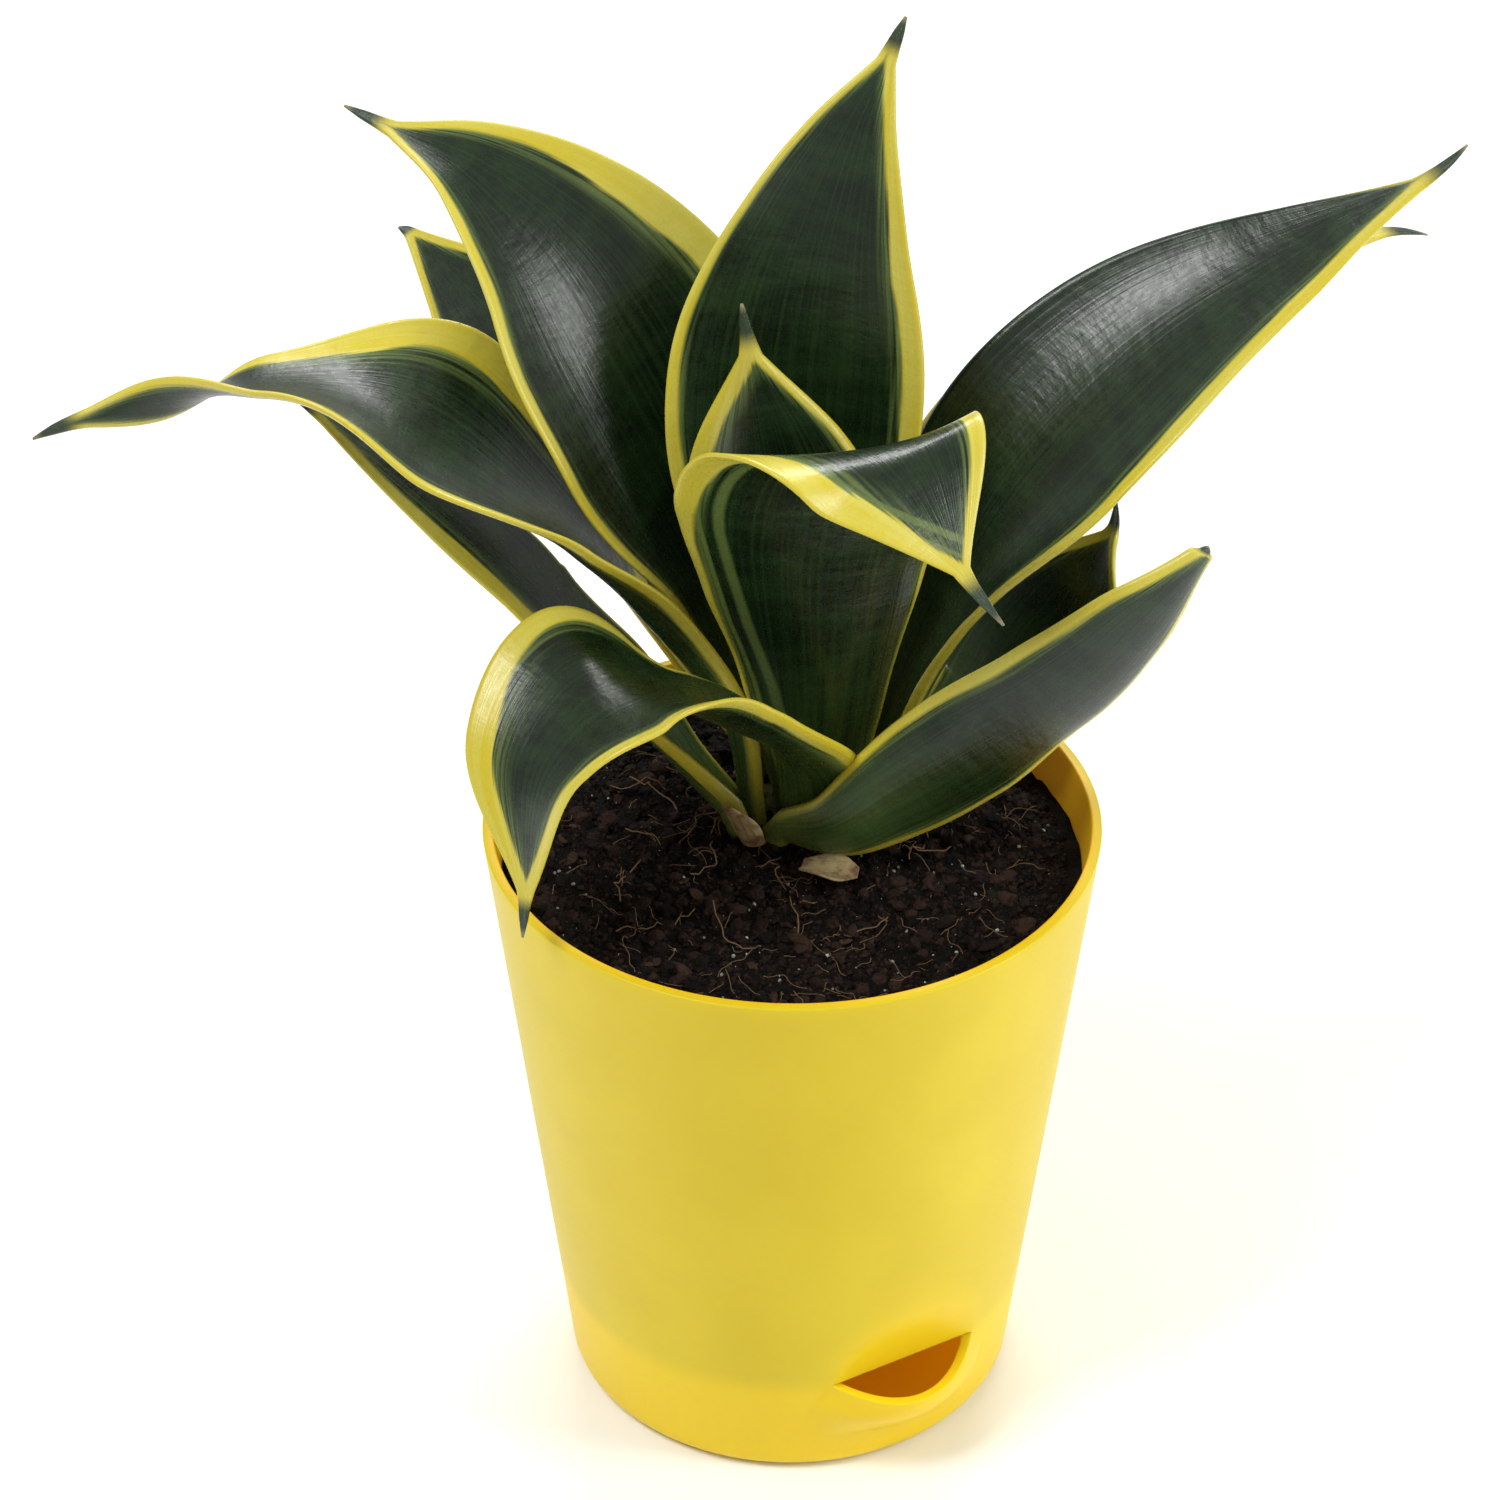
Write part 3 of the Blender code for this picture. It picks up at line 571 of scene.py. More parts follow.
def blade_axes(midrib, heading, roll):
    """For each row: along the leaf, towards its left margin, and out of its upper face."""
    forward = unit(np.gradient(midrib, axis=0))
    heading = np.radians(heading)
    left = np.stack([-np.sin(heading), np.cos(heading), 0 * heading], axis=1)
    left = unit(left - (left * forward).sum(axis=1)[:, None] * forward)
    up = np.cross(forward, left)
    roll = np.radians(roll)[:, None]
    return forward, left * np.cos(roll) + up * np.sin(roll), up * np.cos(roll) - left * np.sin(roll)


def lengthen(rows, first, last):
    """Repeats the first and the last row that many times."""
    rows = np.asarray(rows, float)
    return np.concatenate([np.repeat(rows[:1], first, axis=0), rows, np.repeat(rows[-1:], last, axis=0)])


def blade(leaf, rows, half, thick, margin, foot, wave, seed):
    """A closed blade with rounded margins.

    It returns the points, the faces, the place and the distances from the margins at each point, how
    far along each row lies, and the number of rows in the spine and of points in a row.
    """
    share = np.linspace(0.0, 1.0, rows)
    midrib, run = curve_through(np.asarray(leaf["midrib"], float) + (0.0, 0.0, SOIL_TOP), rows)
    axes = blade_axes(midrib, eased(leaf["heading"], share), eased(leaf["roll"], share))
    widths = flowing(leaf["widths"], share)
    cups = np.radians(eased(leaf["cup"], share))
    thicks = thick[0] + (thick[1] - thick[0]) * share
    margins = margin[0] + (margin[1] - margin[0]) * share
    spine_length = leaf.get("spine", 0.0)
    spine_rows = SPINE_ROWS if spine_length else 0
    spine = np.linspace(0.0, 1.0, spine_rows + 1)[1:]
    forward, left, up = axes
    bend = np.array(leaf.get("spine_bend", (0, 0, 0)), float)
    tail = midrib[-1] + (spine[:, None] * forward[-1] + (spine**2)[:, None] * bend) * spine_length
    down = np.linspace(1.0, 0.0, foot, endpoint=False)[:, None] * FOOT_DEPTH
    head = midrib[0] - down * unit(forward[0] + (0.0, 0.0, 1.0))
    midrib = np.vstack([head, midrib, tail])
    forward, left, up = (lengthen(axis, foot, spine_rows) for axis in axes)
    run = np.concatenate([-down[:, 0], run, run[-1] + spine * spine_length])
    spine_share = np.concatenate([np.zeros(foot + rows), spine])
    keys = (0.0, 0.3, 0.65, 1.0)

    def with_ends(values, *thinner):
        """The values along the leaf, with those of the foot before them and of the spine after them."""
        tail = np.interp(spine, keys, (values[-1], *thinner))
        return np.concatenate([values[:1].repeat(foot), values, tail])

    widths = with_ends(widths, 1.0, 0.7, 0.15)
    thicks = with_ends(thicks, 1.1, 0.8, 0.3)
    margins = with_ends(margins, 0.65, 0.45, 0.2)
    cups = lengthen(cups, foot, spine_rows)
    across = np.linspace(-1.0, 1.0, 2 * half + 1)
    across = np.sign(across) * (1.0 - (1.0 - np.abs(across)) ** 1.25)
    fullness = np.sqrt(np.clip(1.0 - across**2, 0.0, 1.0))
    points, place, edge = [], [], []
    for i in range(len(midrib)):
        curl = math.copysign(max(abs(cups[i]), 0.03), cups[i])
        radius = widths[i] / curl
        angle = across * curl
        out = np.cos(angle)[:, None] * up[i] - np.sin(angle)[:, None] * left[i]
        side = np.cos(angle)[:, None] * left[i] + np.sin(angle)[:, None] * up[i]
        ripple = np.array([noise.noise(Vector((run[i] * 0.045, s * 0.6, seed))) for s in across])
        lift = wave * ripple * np.abs(across) ** 2 * (1.0 - spine_share[i]) * min(1.0, widths[i] / 10.0)
        upper = midrib[i] + (radius * np.sin(angle))[:, None] * left[i]
        upper = upper + (radius * (1.0 - np.cos(angle)))[:, None] * up[i] + lift[:, None] * out
        depth = margins[i] + (thicks[i] - margins[i]) * fullness
        lower = upper - out * depth[:, None]
        round_left = (upper[-1] + lower[-1]) / 2 + side[-1] * margins[i] * 0.4
        round_right = (upper[0] + lower[0]) / 2 - side[0] * margins[i] * 0.4
        points.append(np.vstack([upper, round_left, lower[::-1], round_right]))
        where = np.concatenate([across, [1.0], across[::-1], [-1.0]])
        place.append(np.stack([where * widths[i], 0 * where + run[i], 0 * where + seed], axis=1))
        to_margins = [widths[i] * (1 - where), widths[i] * (1 + where), 0 * where + spine_share[i]]
        edge.append(np.stack(to_margins, axis=1))
    count = len(points[0])
    faces = []
    for i in range(len(points) - 1):
        for j in range(count):
            k = (j + 1) % count
            faces.append((i * count + j, i * count + k, (i + 1) * count + k, (i + 1) * count + j))
    faces.append(tuple(range(count))[::-1])
    faces.append(tuple(range((len(points) - 1) * count, len(points) * count)))
    return np.vstack(points), faces, np.vstack(place), np.vstack(edge), share, spine_rows, count


def outward(mesh):
    shape = bmesh.new()
    shape.from_mesh(mesh)
    bmesh.ops.recalc_face_normals(shape, faces=shape.faces)
    shape.to_mesh(mesh)
    shape.free()


def build_leaf(name, leaf, seed, finish):
    made = blade(leaf, LEAF_ROWS, HALF_COLUMNS, LEAF_THICKNESS, LEAF_MARGIN, FOOT_ROWS, LEAF_WAVE, seed)
    points, faces, place, edge, share, spine_rows, count = made
    mesh = bpy.data.meshes.new(name + "_blade")
    mesh.from_pydata(points * MM, [], faces)
    store(mesh, "place", place)
    store(mesh, "margins", edge)
    bands = [lengthen(flowing(leaf[side], share, -1.0), FOOT_ROWS, spine_rows) for side in ("left", "right")]
    stripes = np.full(len(bands[0]), leaf.get("stripes", 0.0))
    store(mesh, "bands", np.repeat(np.stack(bands + [stripes], axis=1), count, axis=0))
    outward(mesh)
    mesh.shade_smooth()
    settle(new_object(name + "_blade", mesh, finish), "leaf_tissue", name)


def build_scale(name, scale, seed, finish):
    made = blade(scale, SCALE_ROWS, SCALE_HALF_COLUMNS, SCALE_THICKNESS, SCALE_MARGIN, 0, SCALE_WAVE, seed)
    points, faces, place = made[:3]
    mesh = bpy.data.meshes.new(name + "_skin")
    mesh.from_pydata(points * MM, [], faces)
    store(mesh, "place", place)
    outward(mesh)
    mesh.shade_smooth()
    settle(new_object(name + "_skin", mesh, finish), "dry_scale", name)


def ease(x):
    x = min(max(x, 0.0), 1.0)
    return x * x * (3.0 - 2.0 * x)


def outer_radius(z):
    return BASE_RADIUS + (RIM_RADIUS - BASE_RADIUS) * z / POT_HEIGHT


def from_inlet(x, y):
    turn = math.degrees(math.atan2(y, x)) - INLET_HEADING
    return (turn + 180.0) % 360.0 - 180.0


def scoop_depth(turn, z):
    if abs(turn) >= INLET_HALF_ANGLE or z < INLET_LEVEL:
        return 0.0
    half = math.radians(INLET_HALF_ANGLE)
    chord = outer_radius(INLET_LEVEL) * (1.0 - math.cos(half) / math.cos(math.radians(turn)))
    height = SCOOP_HEIGHT * math.sqrt(1.0 - (turn / INLET_HALF_ANGLE) ** 2) + 0.001
    return chord * (1.0 - ease((z - INLET_LEVEL) / height))


def lip_share(turn, z):
    below = (INLET_LEVEL - z) / LIP_HEIGHT
    reach = INLET_HALF_ANGLE + (LIP_HALF_ANGLE - INLET_HALF_ANGLE) * ease(below / LIP_WIDEST)
    if abs(turn) >= reach or below < 0.0 or below >= 1.0:
        return 0.0
    return math.cos(math.pi / 2.0 * turn / reach) * math.cos(math.pi / 2.0 * below)


def spun(profile, columns):
    """A profile of (radius, z) points turned about the Z axis, ring by ring, from the inlet's heading."""
    turned = bmesh.new()
    start = math.radians(INLET_HEADING)
    rings = []
    for radius, z in profile:
        ring = []
        for column in range(columns if radius > 0.001 else 1):
            turn = start + math.tau * column / columns
            ring.append(turned.verts.new((radius * math.cos(turn), radius * math.sin(turn), z)))
        rings.append(ring)
    for lower, upper in zip(rings, rings[1:]):
        for column in range(columns):
            beside = (column + 1) % columns
            corners = [lower[column % len(lower)], lower[beside % len(lower)]]
            corners += [upper[beside % len(upper)], upper[column % len(upper)]]
            turned.faces.new(list(dict.fromkeys(corners)))
    bmesh.ops.recalc_face_normals(turned, faces=turned.faces)
    return turned


def finish_mesh(shape, name):
    """A bmesh in millimetres as a mesh in metres."""
    bmesh.ops.scale(shape, vec=(MM, MM, MM), verts=shape.verts)
    mesh = bpy.data.meshes.new(name)
    shape.to_mesh(mesh)
    shape.free()
    return mesh


def applied(piece):
    """The piece's mesh with its modifiers worked in."""
    evaluated = piece.evaluated_get(bpy.context.evaluated_depsgraph_get())
    mesh = bpy.data.meshes.new_from_object(evaluated)
    piece.modifiers.clear()
    piece.data = mesh
    return mesh


def build_pot():
    """One thin wall turned in one go, pressed in above the inlet and swelling out below it."""
    profile = [(0.0, 0.0), (BASE_RADIUS * 0.3, 0.0), (BASE_RADIUS * 0.6, 0.0)]
    centre = outer_radius(BASE_EDGE) - BASE_EDGE
    for step in range(BASE_EDGE_STEPS + 1):
        angle = math.radians(90.0 * step / BASE_EDGE_STEPS)
        profile.append((centre + BASE_EDGE * math.sin(angle), BASE_EDGE * (1.0 - math.cos(angle))))
    levels = [INLET_LEVEL - LIP_HEIGHT * (1.0 - row / INLET_ROWS) for row in range(INLET_ROWS + 1)]
    levels += [INLET_LEVEL + SCOOP_HEIGHT * row / INLET_ROWS for row in range(1, INLET_ROWS + 1)]
    levels += [POT_HEIGHT * share for share in (0.4, 0.5, 0.6, 0.7, 0.8, 0.9, 0.97)] + [POT_HEIGHT - 0.2]
    profile.extend((outer_radius(z), z) for z in levels)
    shell = spun(profile, POT_COLUMNS)

    def on_slot(vert):
        turn = abs(from_inlet(vert.co.x, vert.co.y))
        return abs(vert.co.z - INLET_LEVEL) < 0.01 and turn < INLET_HALF_ANGLE + 0.01

    slot = [edge for edge in shell.edges if all(on_slot(vert) for vert in edge.verts)]
    bmesh.ops.split_edges(shell, edges=slot)
    moved = {}
    for vert in shell.verts:
        radius = math.hypot(vert.co.x, vert.co.y)
        if radius < BASE_RADIUS * 0.61:
            continue
        turn = from_inlet(vert.co.x, vert.co.y)
        middle = sum(face.calc_center_median().z for face in vert.link_faces) / len(vert.link_faces)
        above = middle > INLET_LEVEL + 0.2
        share = 0.0 if above else lip_share(turn, vert.co.z)
        out = -scoop_depth(turn, vert.co.z) if above else LIP_OUT * share
        scale = 1.0 + out / radius
        moved[vert] = (vert.co.x * scale, vert.co.y * scale, vert.co.z - LIP_DROP * share)
    for vert, place in moved.items():
        vert.co = place
    mesh = finish_mesh(shell, "pot_shell")
    pot = new_object("pot_shell", mesh, pot_plastic())
    wall = pot.modifiers.new("wall", "SOLIDIFY")
    wall.thickness = WALL * MM
    wall.offset = -1.0
    wall.use_even_offset = True
    rounding = pot.modifiers.new("rounding", "BEVEL")
    rounding.width = EDGE_ROUNDING * MM
    rounding.segments = 3
    rounding.limit_method = "ANGLE"
    rounding.angle_limit = math.radians(50)
    mesh = applied(pot)
    # Painted glow: the first value marks the plastic round the inlet and the second the inner faces, for the
    # painted light of the pot's finish.
    painted_glow = np.zeros((len(mesh.vertices), 3))
    for vert in mesh.vertices:
        x, y, z = (value / MM for value in vert.co)
        turn = from_inlet(x, y)
        radius = math.hypot(x, y)
        inner_light_share = ease((outer_radius(z) - WALL * 0.5 - radius + 0.25) / 0.5) if z > BASE_EDGE else 0.0
        near = math.hypot(turn / (INLET_HALF_ANGLE * 1.25), (z - INLET_LEVEL - 2.0) / (SCOOP_HEIGHT * 1.15))
        pressed = scoop_depth(turn, z) > 0.05
        painted_glow[vert.index, 0] = (1.0 - ease((near - 0.45) / 0.55)) * 0.8
        painted_glow[vert.index, 1] = 0.0 if pressed and z > INLET_LEVEL else inner_light_share
    store(mesh, "painted_glow", painted_glow)
    mesh.shade_smooth()
    settle(pot, "pot_plastic", "self_watering_pot")


def soil_height(x, y):
    """A low mound round the crown, and lumps; the dip along the wall is made in build_soil."""
    away = math.hypot(x - CROWN[0], y - CROWN[1])
    mound = MOUND_HEIGHT * (1.0 - ease((away - MOUND_RADIUS * 0.8) / (MOUND_RADIUS * 0.6)))
    lumps = noise.fractal(Vector((x * 0.24, y * 0.24, 3.0)), 0.7, 2.1, 4)
    broad = noise.noise(Vector((x * 0.045, y * 0.045, 9.0)))
    return SOIL_TOP + mound + lumps * 1.4 + broad * 1.2 - 0.6


def build_soil(finish):
    """The soil's body, and its open surface for the crumbs to lie on."""
    side = WALL + SOIL_GAP
    low = INLET_LEVEL + 3.0
    profile = [(0.0, low), (outer_radius(low) - side - 3.0, low)]
    profile.append((outer_radius(SOIL_SHOULDER) - side, SOIL_SHOULDER))
    profile.append((outer_radius(SOIL_TOP - 2.0) - side, SOIL_TOP - 2.0))
    top = outer_radius(SOIL_TOP) - side
    profile.extend((top * ring / SOIL_RINGS, SOIL_TOP) for ring in range(SOIL_RINGS, -1, -1))
    soil = spun(profile, SOIL_COLUMNS)
    for vert in soil.verts:
        if vert.co.z > SOIL_TOP - 0.01:
            radius = math.hypot(vert.co.x, vert.co.y)
            dip = 1.2 * ease((radius - top + 5.0) / 5.0)
            vert.co.z = soil_height(vert.co.x, vert.co.y) - dip
    surface = soil.copy()
    buried = [vert for vert in surface.verts if vert.co.z < SOIL_TOP - 3.9]
    bmesh.ops.delete(surface, geom=buried, context="VERTS")
    piece = new_object("soil_body", finish_mesh(soil, "soil_body"), finish)
    piece.data.shade_smooth()
    store(piece.data, "tone", np.zeros((len(piece.data.vertices), 3)))
    settle(piece, "soil", "potting_soil")
    return finish_mesh(surface, "soil_surface")


# ---------------------------------------------------------------- scattered pieces


def new_tree(name, **sizes):
    """A geometry tree with named number inputs, and its graph and input node."""
    tree = bpy.data.node_groups.new(name, "GeometryNodeTree")
    tree.interface.new_socket("Geometry", in_out="INPUT", socket_type="NodeSocketGeometry")
    for label, value in sizes.items():
        kind = "NodeSocketInt" if isinstance(value, int) else "NodeSocketFloat"
        made = tree.interface.new_socket(label, in_out="INPUT", socket_type=kind)
        made.default_value = value
    tree.interface.new_socket("Finish", in_out="INPUT", socket_type="NodeSocketMaterial")
    tree.interface.new_socket("Geometry", in_out="OUTPUT", socket_type="NodeSocketGeometry")
    graph = Graph(tree)
    return tree, graph, graph.node("NodeGroupInput").outputs


def random_number(graph, low, high, seed, vector=False):
    made = graph.node("FunctionNodeRandomValue", data_type="FLOAT_VECTOR" if vector else "FLOAT")
    first = 0 if vector else 2
    graph.feed(made.inputs[first], low)
    graph.feed(made.inputs[first + 1], high)
    graph.feed(made.inputs["Seed"], seed)
    return made.outputs[0 if vector else 1]


def jostle(graph, geometry, frequency, amount):
    """Moves each point by a smooth noise, to make plain shapes irregular."""
    place = graph.node("GeometryNodeInputPosition").outputs[0]
    wave = graph.node("ShaderNodeTexNoise", {"Vector": place, "Scale": frequency, "Detail": 2.0})
    centred = graph.vector("SUBTRACT", wave.outputs["Color"], (0.5, 0.5, 0.5))
    shift = graph.node("ShaderNodeVectorMath", {0: centred, "Scale": amount}, operation="SCALE").outputs[0]
    return graph.node("GeometryNodeSetPosition", {"Geometry": geometry, "Offset": shift}).outputs[0]


def close_tree(graph, geometry, inputs):
    made = graph.node("GeometryNodeSetMaterial", {"Geometry": geometry, "Material": inputs["Finish"]})
    graph.node("NodeGroupOutput", {0: made.outputs[0]})


def crumb_tree():
    """Irregular lumps lying over a surface."""
    sizes = dict(Density=1.0, Smallest=0.001, Largest=0.002, Flatness=0.7, Stretch=1.0)
    tree, graph, given = new_tree("crumbs", **sizes, Lumpiness=0.3, Detail=2, Seed=1)
    spread = graph.node(
        "GeometryNodeDistributePointsOnFaces",
        {"Mesh": given["Geometry"], "Density": given["Density"], "Seed": given["Seed"]},
    )
    ball = graph.node("GeometryNodeMeshIcoSphere", {"Radius": 0.5, "Subdivisions": given["Detail"]})
    size = random_number(graph, 0.0, 1.0, given["Seed"])
    size = graph.maths("POWER", size, 2.2)
    span = graph.maths("SUBTRACT", given["Largest"], given["Smallest"])
    size = graph.maths("MULTIPLY_ADD", size, span, given["Smallest"])
    uneven = random_number(graph, (0.75, 0.75, 0.75), (1.2, 1.2, 1.2), given["Seed"], True)
    form = graph.joined({0: given["Stretch"], 1: 1.0, 2: given["Flatness"]})
    form = graph.vector("MULTIPLY", form, uneven)
    form = graph.node("ShaderNodeVectorMath", {0: form, "Scale": size}, operation="SCALE").outputs[0]
    turn = random_number(graph, (-0.5, -0.5, 0.0), (0.5, 0.5, math.tau), given["Seed"], True)
    placed = graph.node(
        "GeometryNodeInstanceOnPoints",
        {"Points": spread.outputs[0], "Instance": ball.outputs[0], "Rotation": turn, "Scale": form},
    ).outputs[0]
    tone = random_number(graph, 0.0, 1.0, graph.maths("ADD", given["Seed"], 7))
    tone = graph.joined({0: tone})
    stored = graph.node(
        "GeometryNodeStoreNamedAttribute",
        {"Geometry": placed, "Name": "tone", "Value": tone},
        data_type="FLOAT_VECTOR",
        domain="INSTANCE",
    ).outputs[0]
    loose = graph.node("GeometryNodeRealizeInstances", {0: stored}).outputs[0]
    both = graph.maths("ADD", given["Smallest"], given["Largest"])
    amount = graph.maths("MULTIPLY", both, given["Lumpiness"])
    frequency = graph.maths("DIVIDE", 2.4, given["Largest"])
    close_tree(graph, jostle(graph, loose, frequency, amount), given)
    return tree


def fibre_tree():
    """Thin wandering strands lying over a surface."""
    sizes = dict(Density=1.0, Shortest=0.004, Longest=0.012, Thickness=0.0002, Wander=0.003)
    tree, graph, given = new_tree("fibres", **sizes, Tilt=0.2, Lift=0.0005, Seed=1)
    spread = graph.node(
        "GeometryNodeDistributePointsOnFaces",
        {"Mesh": given["Geometry"], "Density": given["Density"], "Seed": given["Seed"]},
    )
    above = graph.joined({2: given["Lift"]})
    lifted = graph.node("GeometryNodeSetPosition", {"Geometry": spread.outputs[0], "Offset": above})
    line = graph.node("GeometryNodeCurvePrimitiveLine", {"Start": (-0.5, 0.0, 0.0), "End": (0.5, 0.0, 0.0)})
    line = graph.node("GeometryNodeResampleCurve", {"Curve": line.outputs[0], "Count": 14}).outputs[0]
    size = graph.maths("POWER", random_number(graph, 0.0, 1.0, given["Seed"]), 2.0)
    span = graph.maths("SUBTRACT", given["Longest"], given["Shortest"])
    size = graph.maths("MULTIPLY_ADD", size, span, given["Shortest"])
    low = graph.joined({1: graph.maths("MULTIPLY", given["Tilt"], -1.0)})
    high = graph.joined({1: given["Tilt"], 2: math.tau})
    turn = random_number(graph, low, high, given["Seed"], True)
    placed = graph.node(
        "GeometryNodeInstanceOnPoints",
        {"Points": lifted.outputs[0], "Instance": line, "Rotation": turn, "Scale": size},
    ).outputs[0]
    loose = graph.node("GeometryNodeRealizeInstances", {0: placed}).outputs[0]
    bent = jostle(graph, loose, 140.0, given["Wander"])
    ring = graph.node("GeometryNodeCurvePrimitiveCircle", {"Resolution": 5, "Radius": given["Thickness"]})
    shape = {"Curve": bent, "Profile Curve": ring.outputs[0], "Fill Caps": True}
    tube = graph.node("GeometryNodeCurveToMesh", shape)
    close_tree(graph, tube.outputs[0], given)
    return tree


def scatter(name, tree, surface, finish, **sizes):
    """Runs a tree over a surface and keeps the result as a plain mesh."""
    host = bpy.data.objects.new(name + "_host", surface.copy())
    bpy.context.scene.collection.objects.link(host)
    modifier = host.modifiers.new(name, "NODES")
    modifier.node_group = tree
    for socket in tree.interface.items_tree:
        if socket.in_out != "INPUT":
            continue
        if socket.name in sizes:
            modifier[socket.identifier] = sizes[socket.name]
        elif socket.name == "Finish":
            modifier[socket.identifier] = finish
    evaluated = host.evaluated_get(bpy.context.evaluated_depsgraph_get())
    mesh = bpy.data.meshes.new_from_object(evaluated)
    bpy.data.objects.remove(host, do_unlink=True)
    mesh.name = name
    settle(new_object(name, mesh, finish), "soil")


def inner_part(surface, reach):
    """The part of the surface within that distance of the pot's axis."""
    shape = bmesh.new()
    shape.from_mesh(surface)
    outside = [vert for vert in shape.verts if math.hypot(vert.co.x, vert.co.y) > reach * MM]
    bmesh.ops.delete(shape, geom=outside, context="VERTS")
    mesh = bpy.data.meshes.new("inner_soil_surface")
    shape.to_mesh(mesh)
    shape.free()
    return mesh


def scatter_soil(surface, finish):
    bark = soil_finish("bark_bits", colour(20, 14, 11), colour(72, 52, 40))
    perlite = soil_finish("perlite", colour(120, 122, 112), colour(206, 208, 198), 0.9)
    fibre = soil_finish("coir_fibre", colour(122, 98, 70), colour(220, 198, 158), 0.85)
    crumbs = crumb_tree()
    fibres = fibre_tree()
    near = inner_part(surface, CRUMB_REACH)
    middle = inner_part(surface, SHORT_FIBRE_REACH)
    centre = inner_part(surface, LONG_FIBRE_REACH)
    scatter(
        "fine_crumbs", crumbs, near, finish,
        Density=1.1e6, Smallest=0.0004, Largest=0.0014, Lumpiness=0.5, Detail=1, Seed=3,
    )
    scatter(
        "dust_crumbs", crumbs, near, finish,
        Density=1.2e6, Smallest=0.0003, Largest=0.001, Lumpiness=0.5, Detail=1, Seed=4,
    )
    scatter(
        "coarse_crumbs", crumbs, near, finish,
        Density=1.5e5, Smallest=0.001, Largest=0.0034, Lumpiness=0.46, Detail=2, Seed=11,
    )
    scatter(
        "bark_bits", crumbs, near, bark,
        Density=1.1e4, Smallest=0.001, Largest=0.0034, Stretch=2.2, Flatness=0.4, Lumpiness=0.16,
        Detail=2, Seed=23,
    )
    scatter(
        "perlite_grains", crumbs, near, perlite,
        Density=5.0e4, Smallest=0.0002, Largest=0.0008, Flatness=0.9, Lumpiness=0.15, Detail=2, Seed=31,
    )
    scatter(
        "short_fibres", fibres, middle, fibre,
        Density=4.2e4, Shortest=0.002, Longest=0.009, Thickness=0.00006, Wander=0.008, Tilt=0.25,
        Lift=0.0007, Seed=5,
    )
    scatter(
        "long_fibres", fibres, centre, fibre,
        Density=5.5e3, Shortest=0.008, Longest=0.024, Thickness=0.00012, Wander=0.011, Tilt=0.12,
        Lift=0.0011, Seed=17,
    )


def build_crown(finish):
    """The lumpy foot that the leaves grow from."""
    shape = bmesh.new()
    bmesh.ops.create_icosphere(shape, subdivisions=5, radius=1.0)
    for vert in shape.verts:
        lump = 1.0 + 0.22 * noise.fractal(vert.co * 2.2, 0.7, 2.0, 4)
        spread = CROWN_RADIUS * lump
        vert.co = Vector((vert.co.x * spread, vert.co.y * spread, vert.co.z * CROWN_HEIGHT * lump))
        vert.co += Vector((*CROWN, SOIL_TOP - CROWN_DEPTH))
    place = [tuple(vert.co) for vert in shape.verts]
    piece = new_object("crown_body", finish_mesh(shape, "crown_body"), finish)
    store(piece.data, "place", place)
    piece.data.shade_smooth()
    settle(piece, "crown_tissue", "rhizome_crown")


# ---------------------------------------------------------------- stage


def build_stage():
    mesh = bpy.data.meshes.new("floor")
    side = FLOOR_HALF_SIDE
    corners = [(-side, -side, 0), (side, -side, 0), (side, side, 0), (-side, side, 0)]
    mesh.from_pydata(corners, [], [(0, 1, 2, 3)])
    finish = bpy.data.materials.new("pale_floor")
    finish.use_nodes = True
    shader = finish.node_tree.nodes["Principled BSDF"]
    shader.inputs["Base Color"].default_value = (0.96, 0.96, 0.96, 1.0)
    shader.inputs["Roughness"].default_value = 0.9
    shader.inputs["Specular IOR Level"].default_value = 0.1
    new_object("floor", mesh, finish)


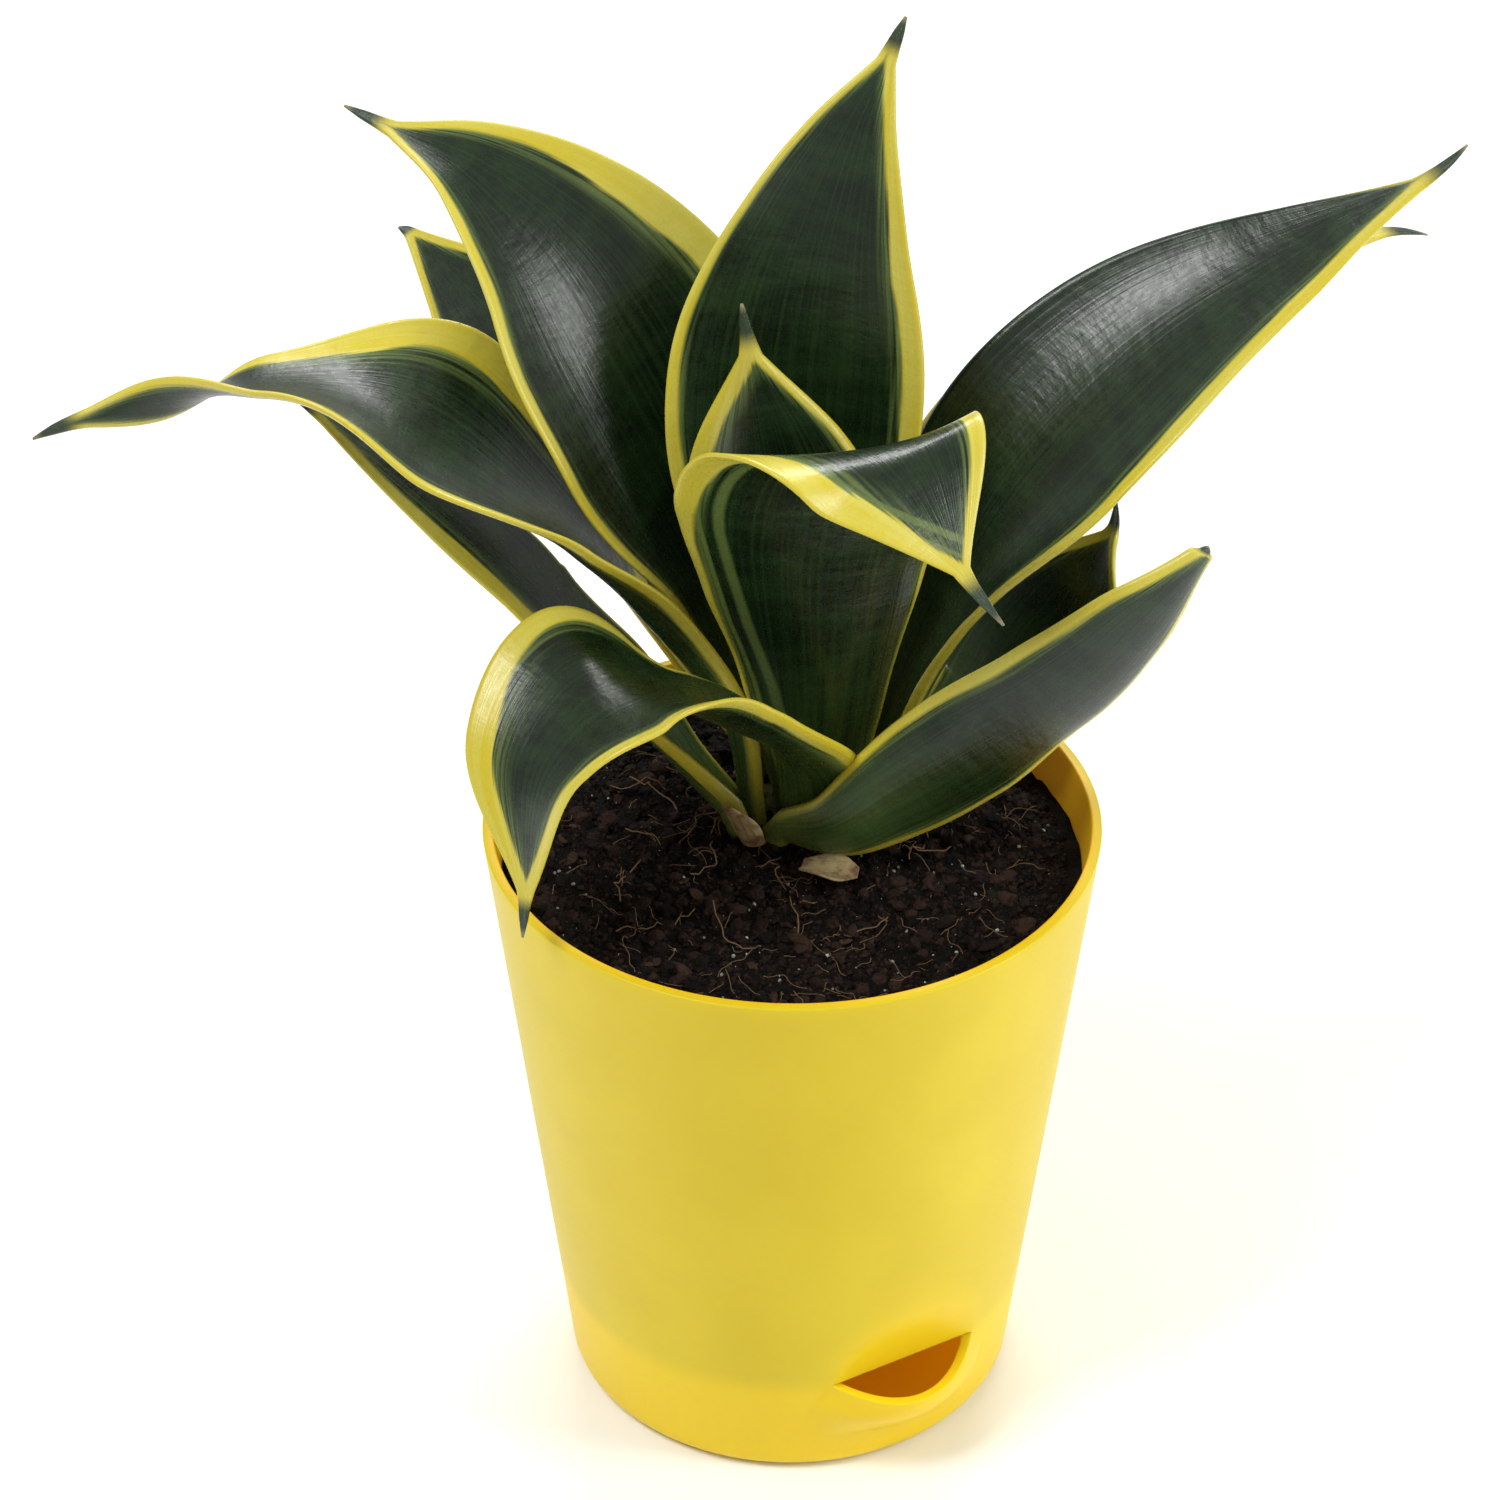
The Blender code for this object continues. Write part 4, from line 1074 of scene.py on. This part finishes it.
def add_light(name, place, target, width, height, power):
    data = bpy.data.lights.new(name, "AREA")
    data.shape = "RECTANGLE"
    data.size = width
    data.size_y = height
    data.energy = power
    light = bpy.data.objects.new(name, data)
    light.location = place
    light.rotation_euler = (Vector(target) - Vector(place)).to_track_quat("-Z", "Y").to_euler()
    bpy.context.scene.collection.objects.link(light)


def build_lights():
    world = bpy.data.worlds.new("studio")
    world.use_nodes = True
    background = world.node_tree.nodes["Background"]
    background.inputs["Color"].default_value = (1.0, 1.0, 1.0, 1.0)
    background.inputs["Strength"].default_value = WORLD_STRENGTH
    bpy.context.scene.world = world
    add_light("key", (-0.55, -0.35, 1.15), (0.0, 0.0, 0.12), 0.4, 0.5, 8.5)
    add_light("side", (0.9, -0.25, 0.55), (0.0, 0.0, 0.1), 0.3, 0.8, 6.0)
    add_light("back", (0.1, 0.9, 0.9), (0.0, 0.0, 0.15), 0.8, 0.25, 7.5)


def build_camera():
    data = bpy.data.cameras.new("camera")
    data.lens = CAMERA_LENS
    data.sensor_width = 36.0
    data.clip_start = 0.01
    data.clip_end = 20.0
    camera = bpy.data.objects.new("camera", data)
    camera.location = CAMERA_PLACE
    camera.rotation_euler = (math.radians(90.0 - CAMERA_DOWN), 0.0, 0.0)
    bpy.context.scene.collection.objects.link(camera)
    bpy.context.scene.camera = camera


def main():
    build_camera()
    build_stage()
    build_lights()
    bpy.context.scene.view_settings.view_transform = "Standard"
    build_pot()
    earth = soil_finish("earth", colour(9, 6, 4), colour(52, 36, 28))
    surface = build_soil(earth)
    scatter_soil(surface, earth)
    build_crown(dry_tissue("crown_skin", colour(140, 140, 80), colour(90, 76, 44), colour(170, 160, 110)))
    leaf_finish = variegated_leaf()
    for number, (name, leaf) in enumerate(LEAVES.items()):
        build_leaf(name, leaf, float(number), leaf_finish)
    papery = dry_tissue("papery_scale", colour(176, 158, 112), colour(110, 78, 50), colour(84, 56, 38))
    for number, (name, scale) in enumerate(SCALES.items()):
        build_scale(name, scale, 30.0 + number, papery)
    plate = dry_tissue("plate_plastic", colour(220, 170, 30), colour(214, 160, 26), colour(224, 178, 40))
    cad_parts["separator_plate"].data.materials.clear()
    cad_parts["separator_plate"].data.materials.append(plate)


main()
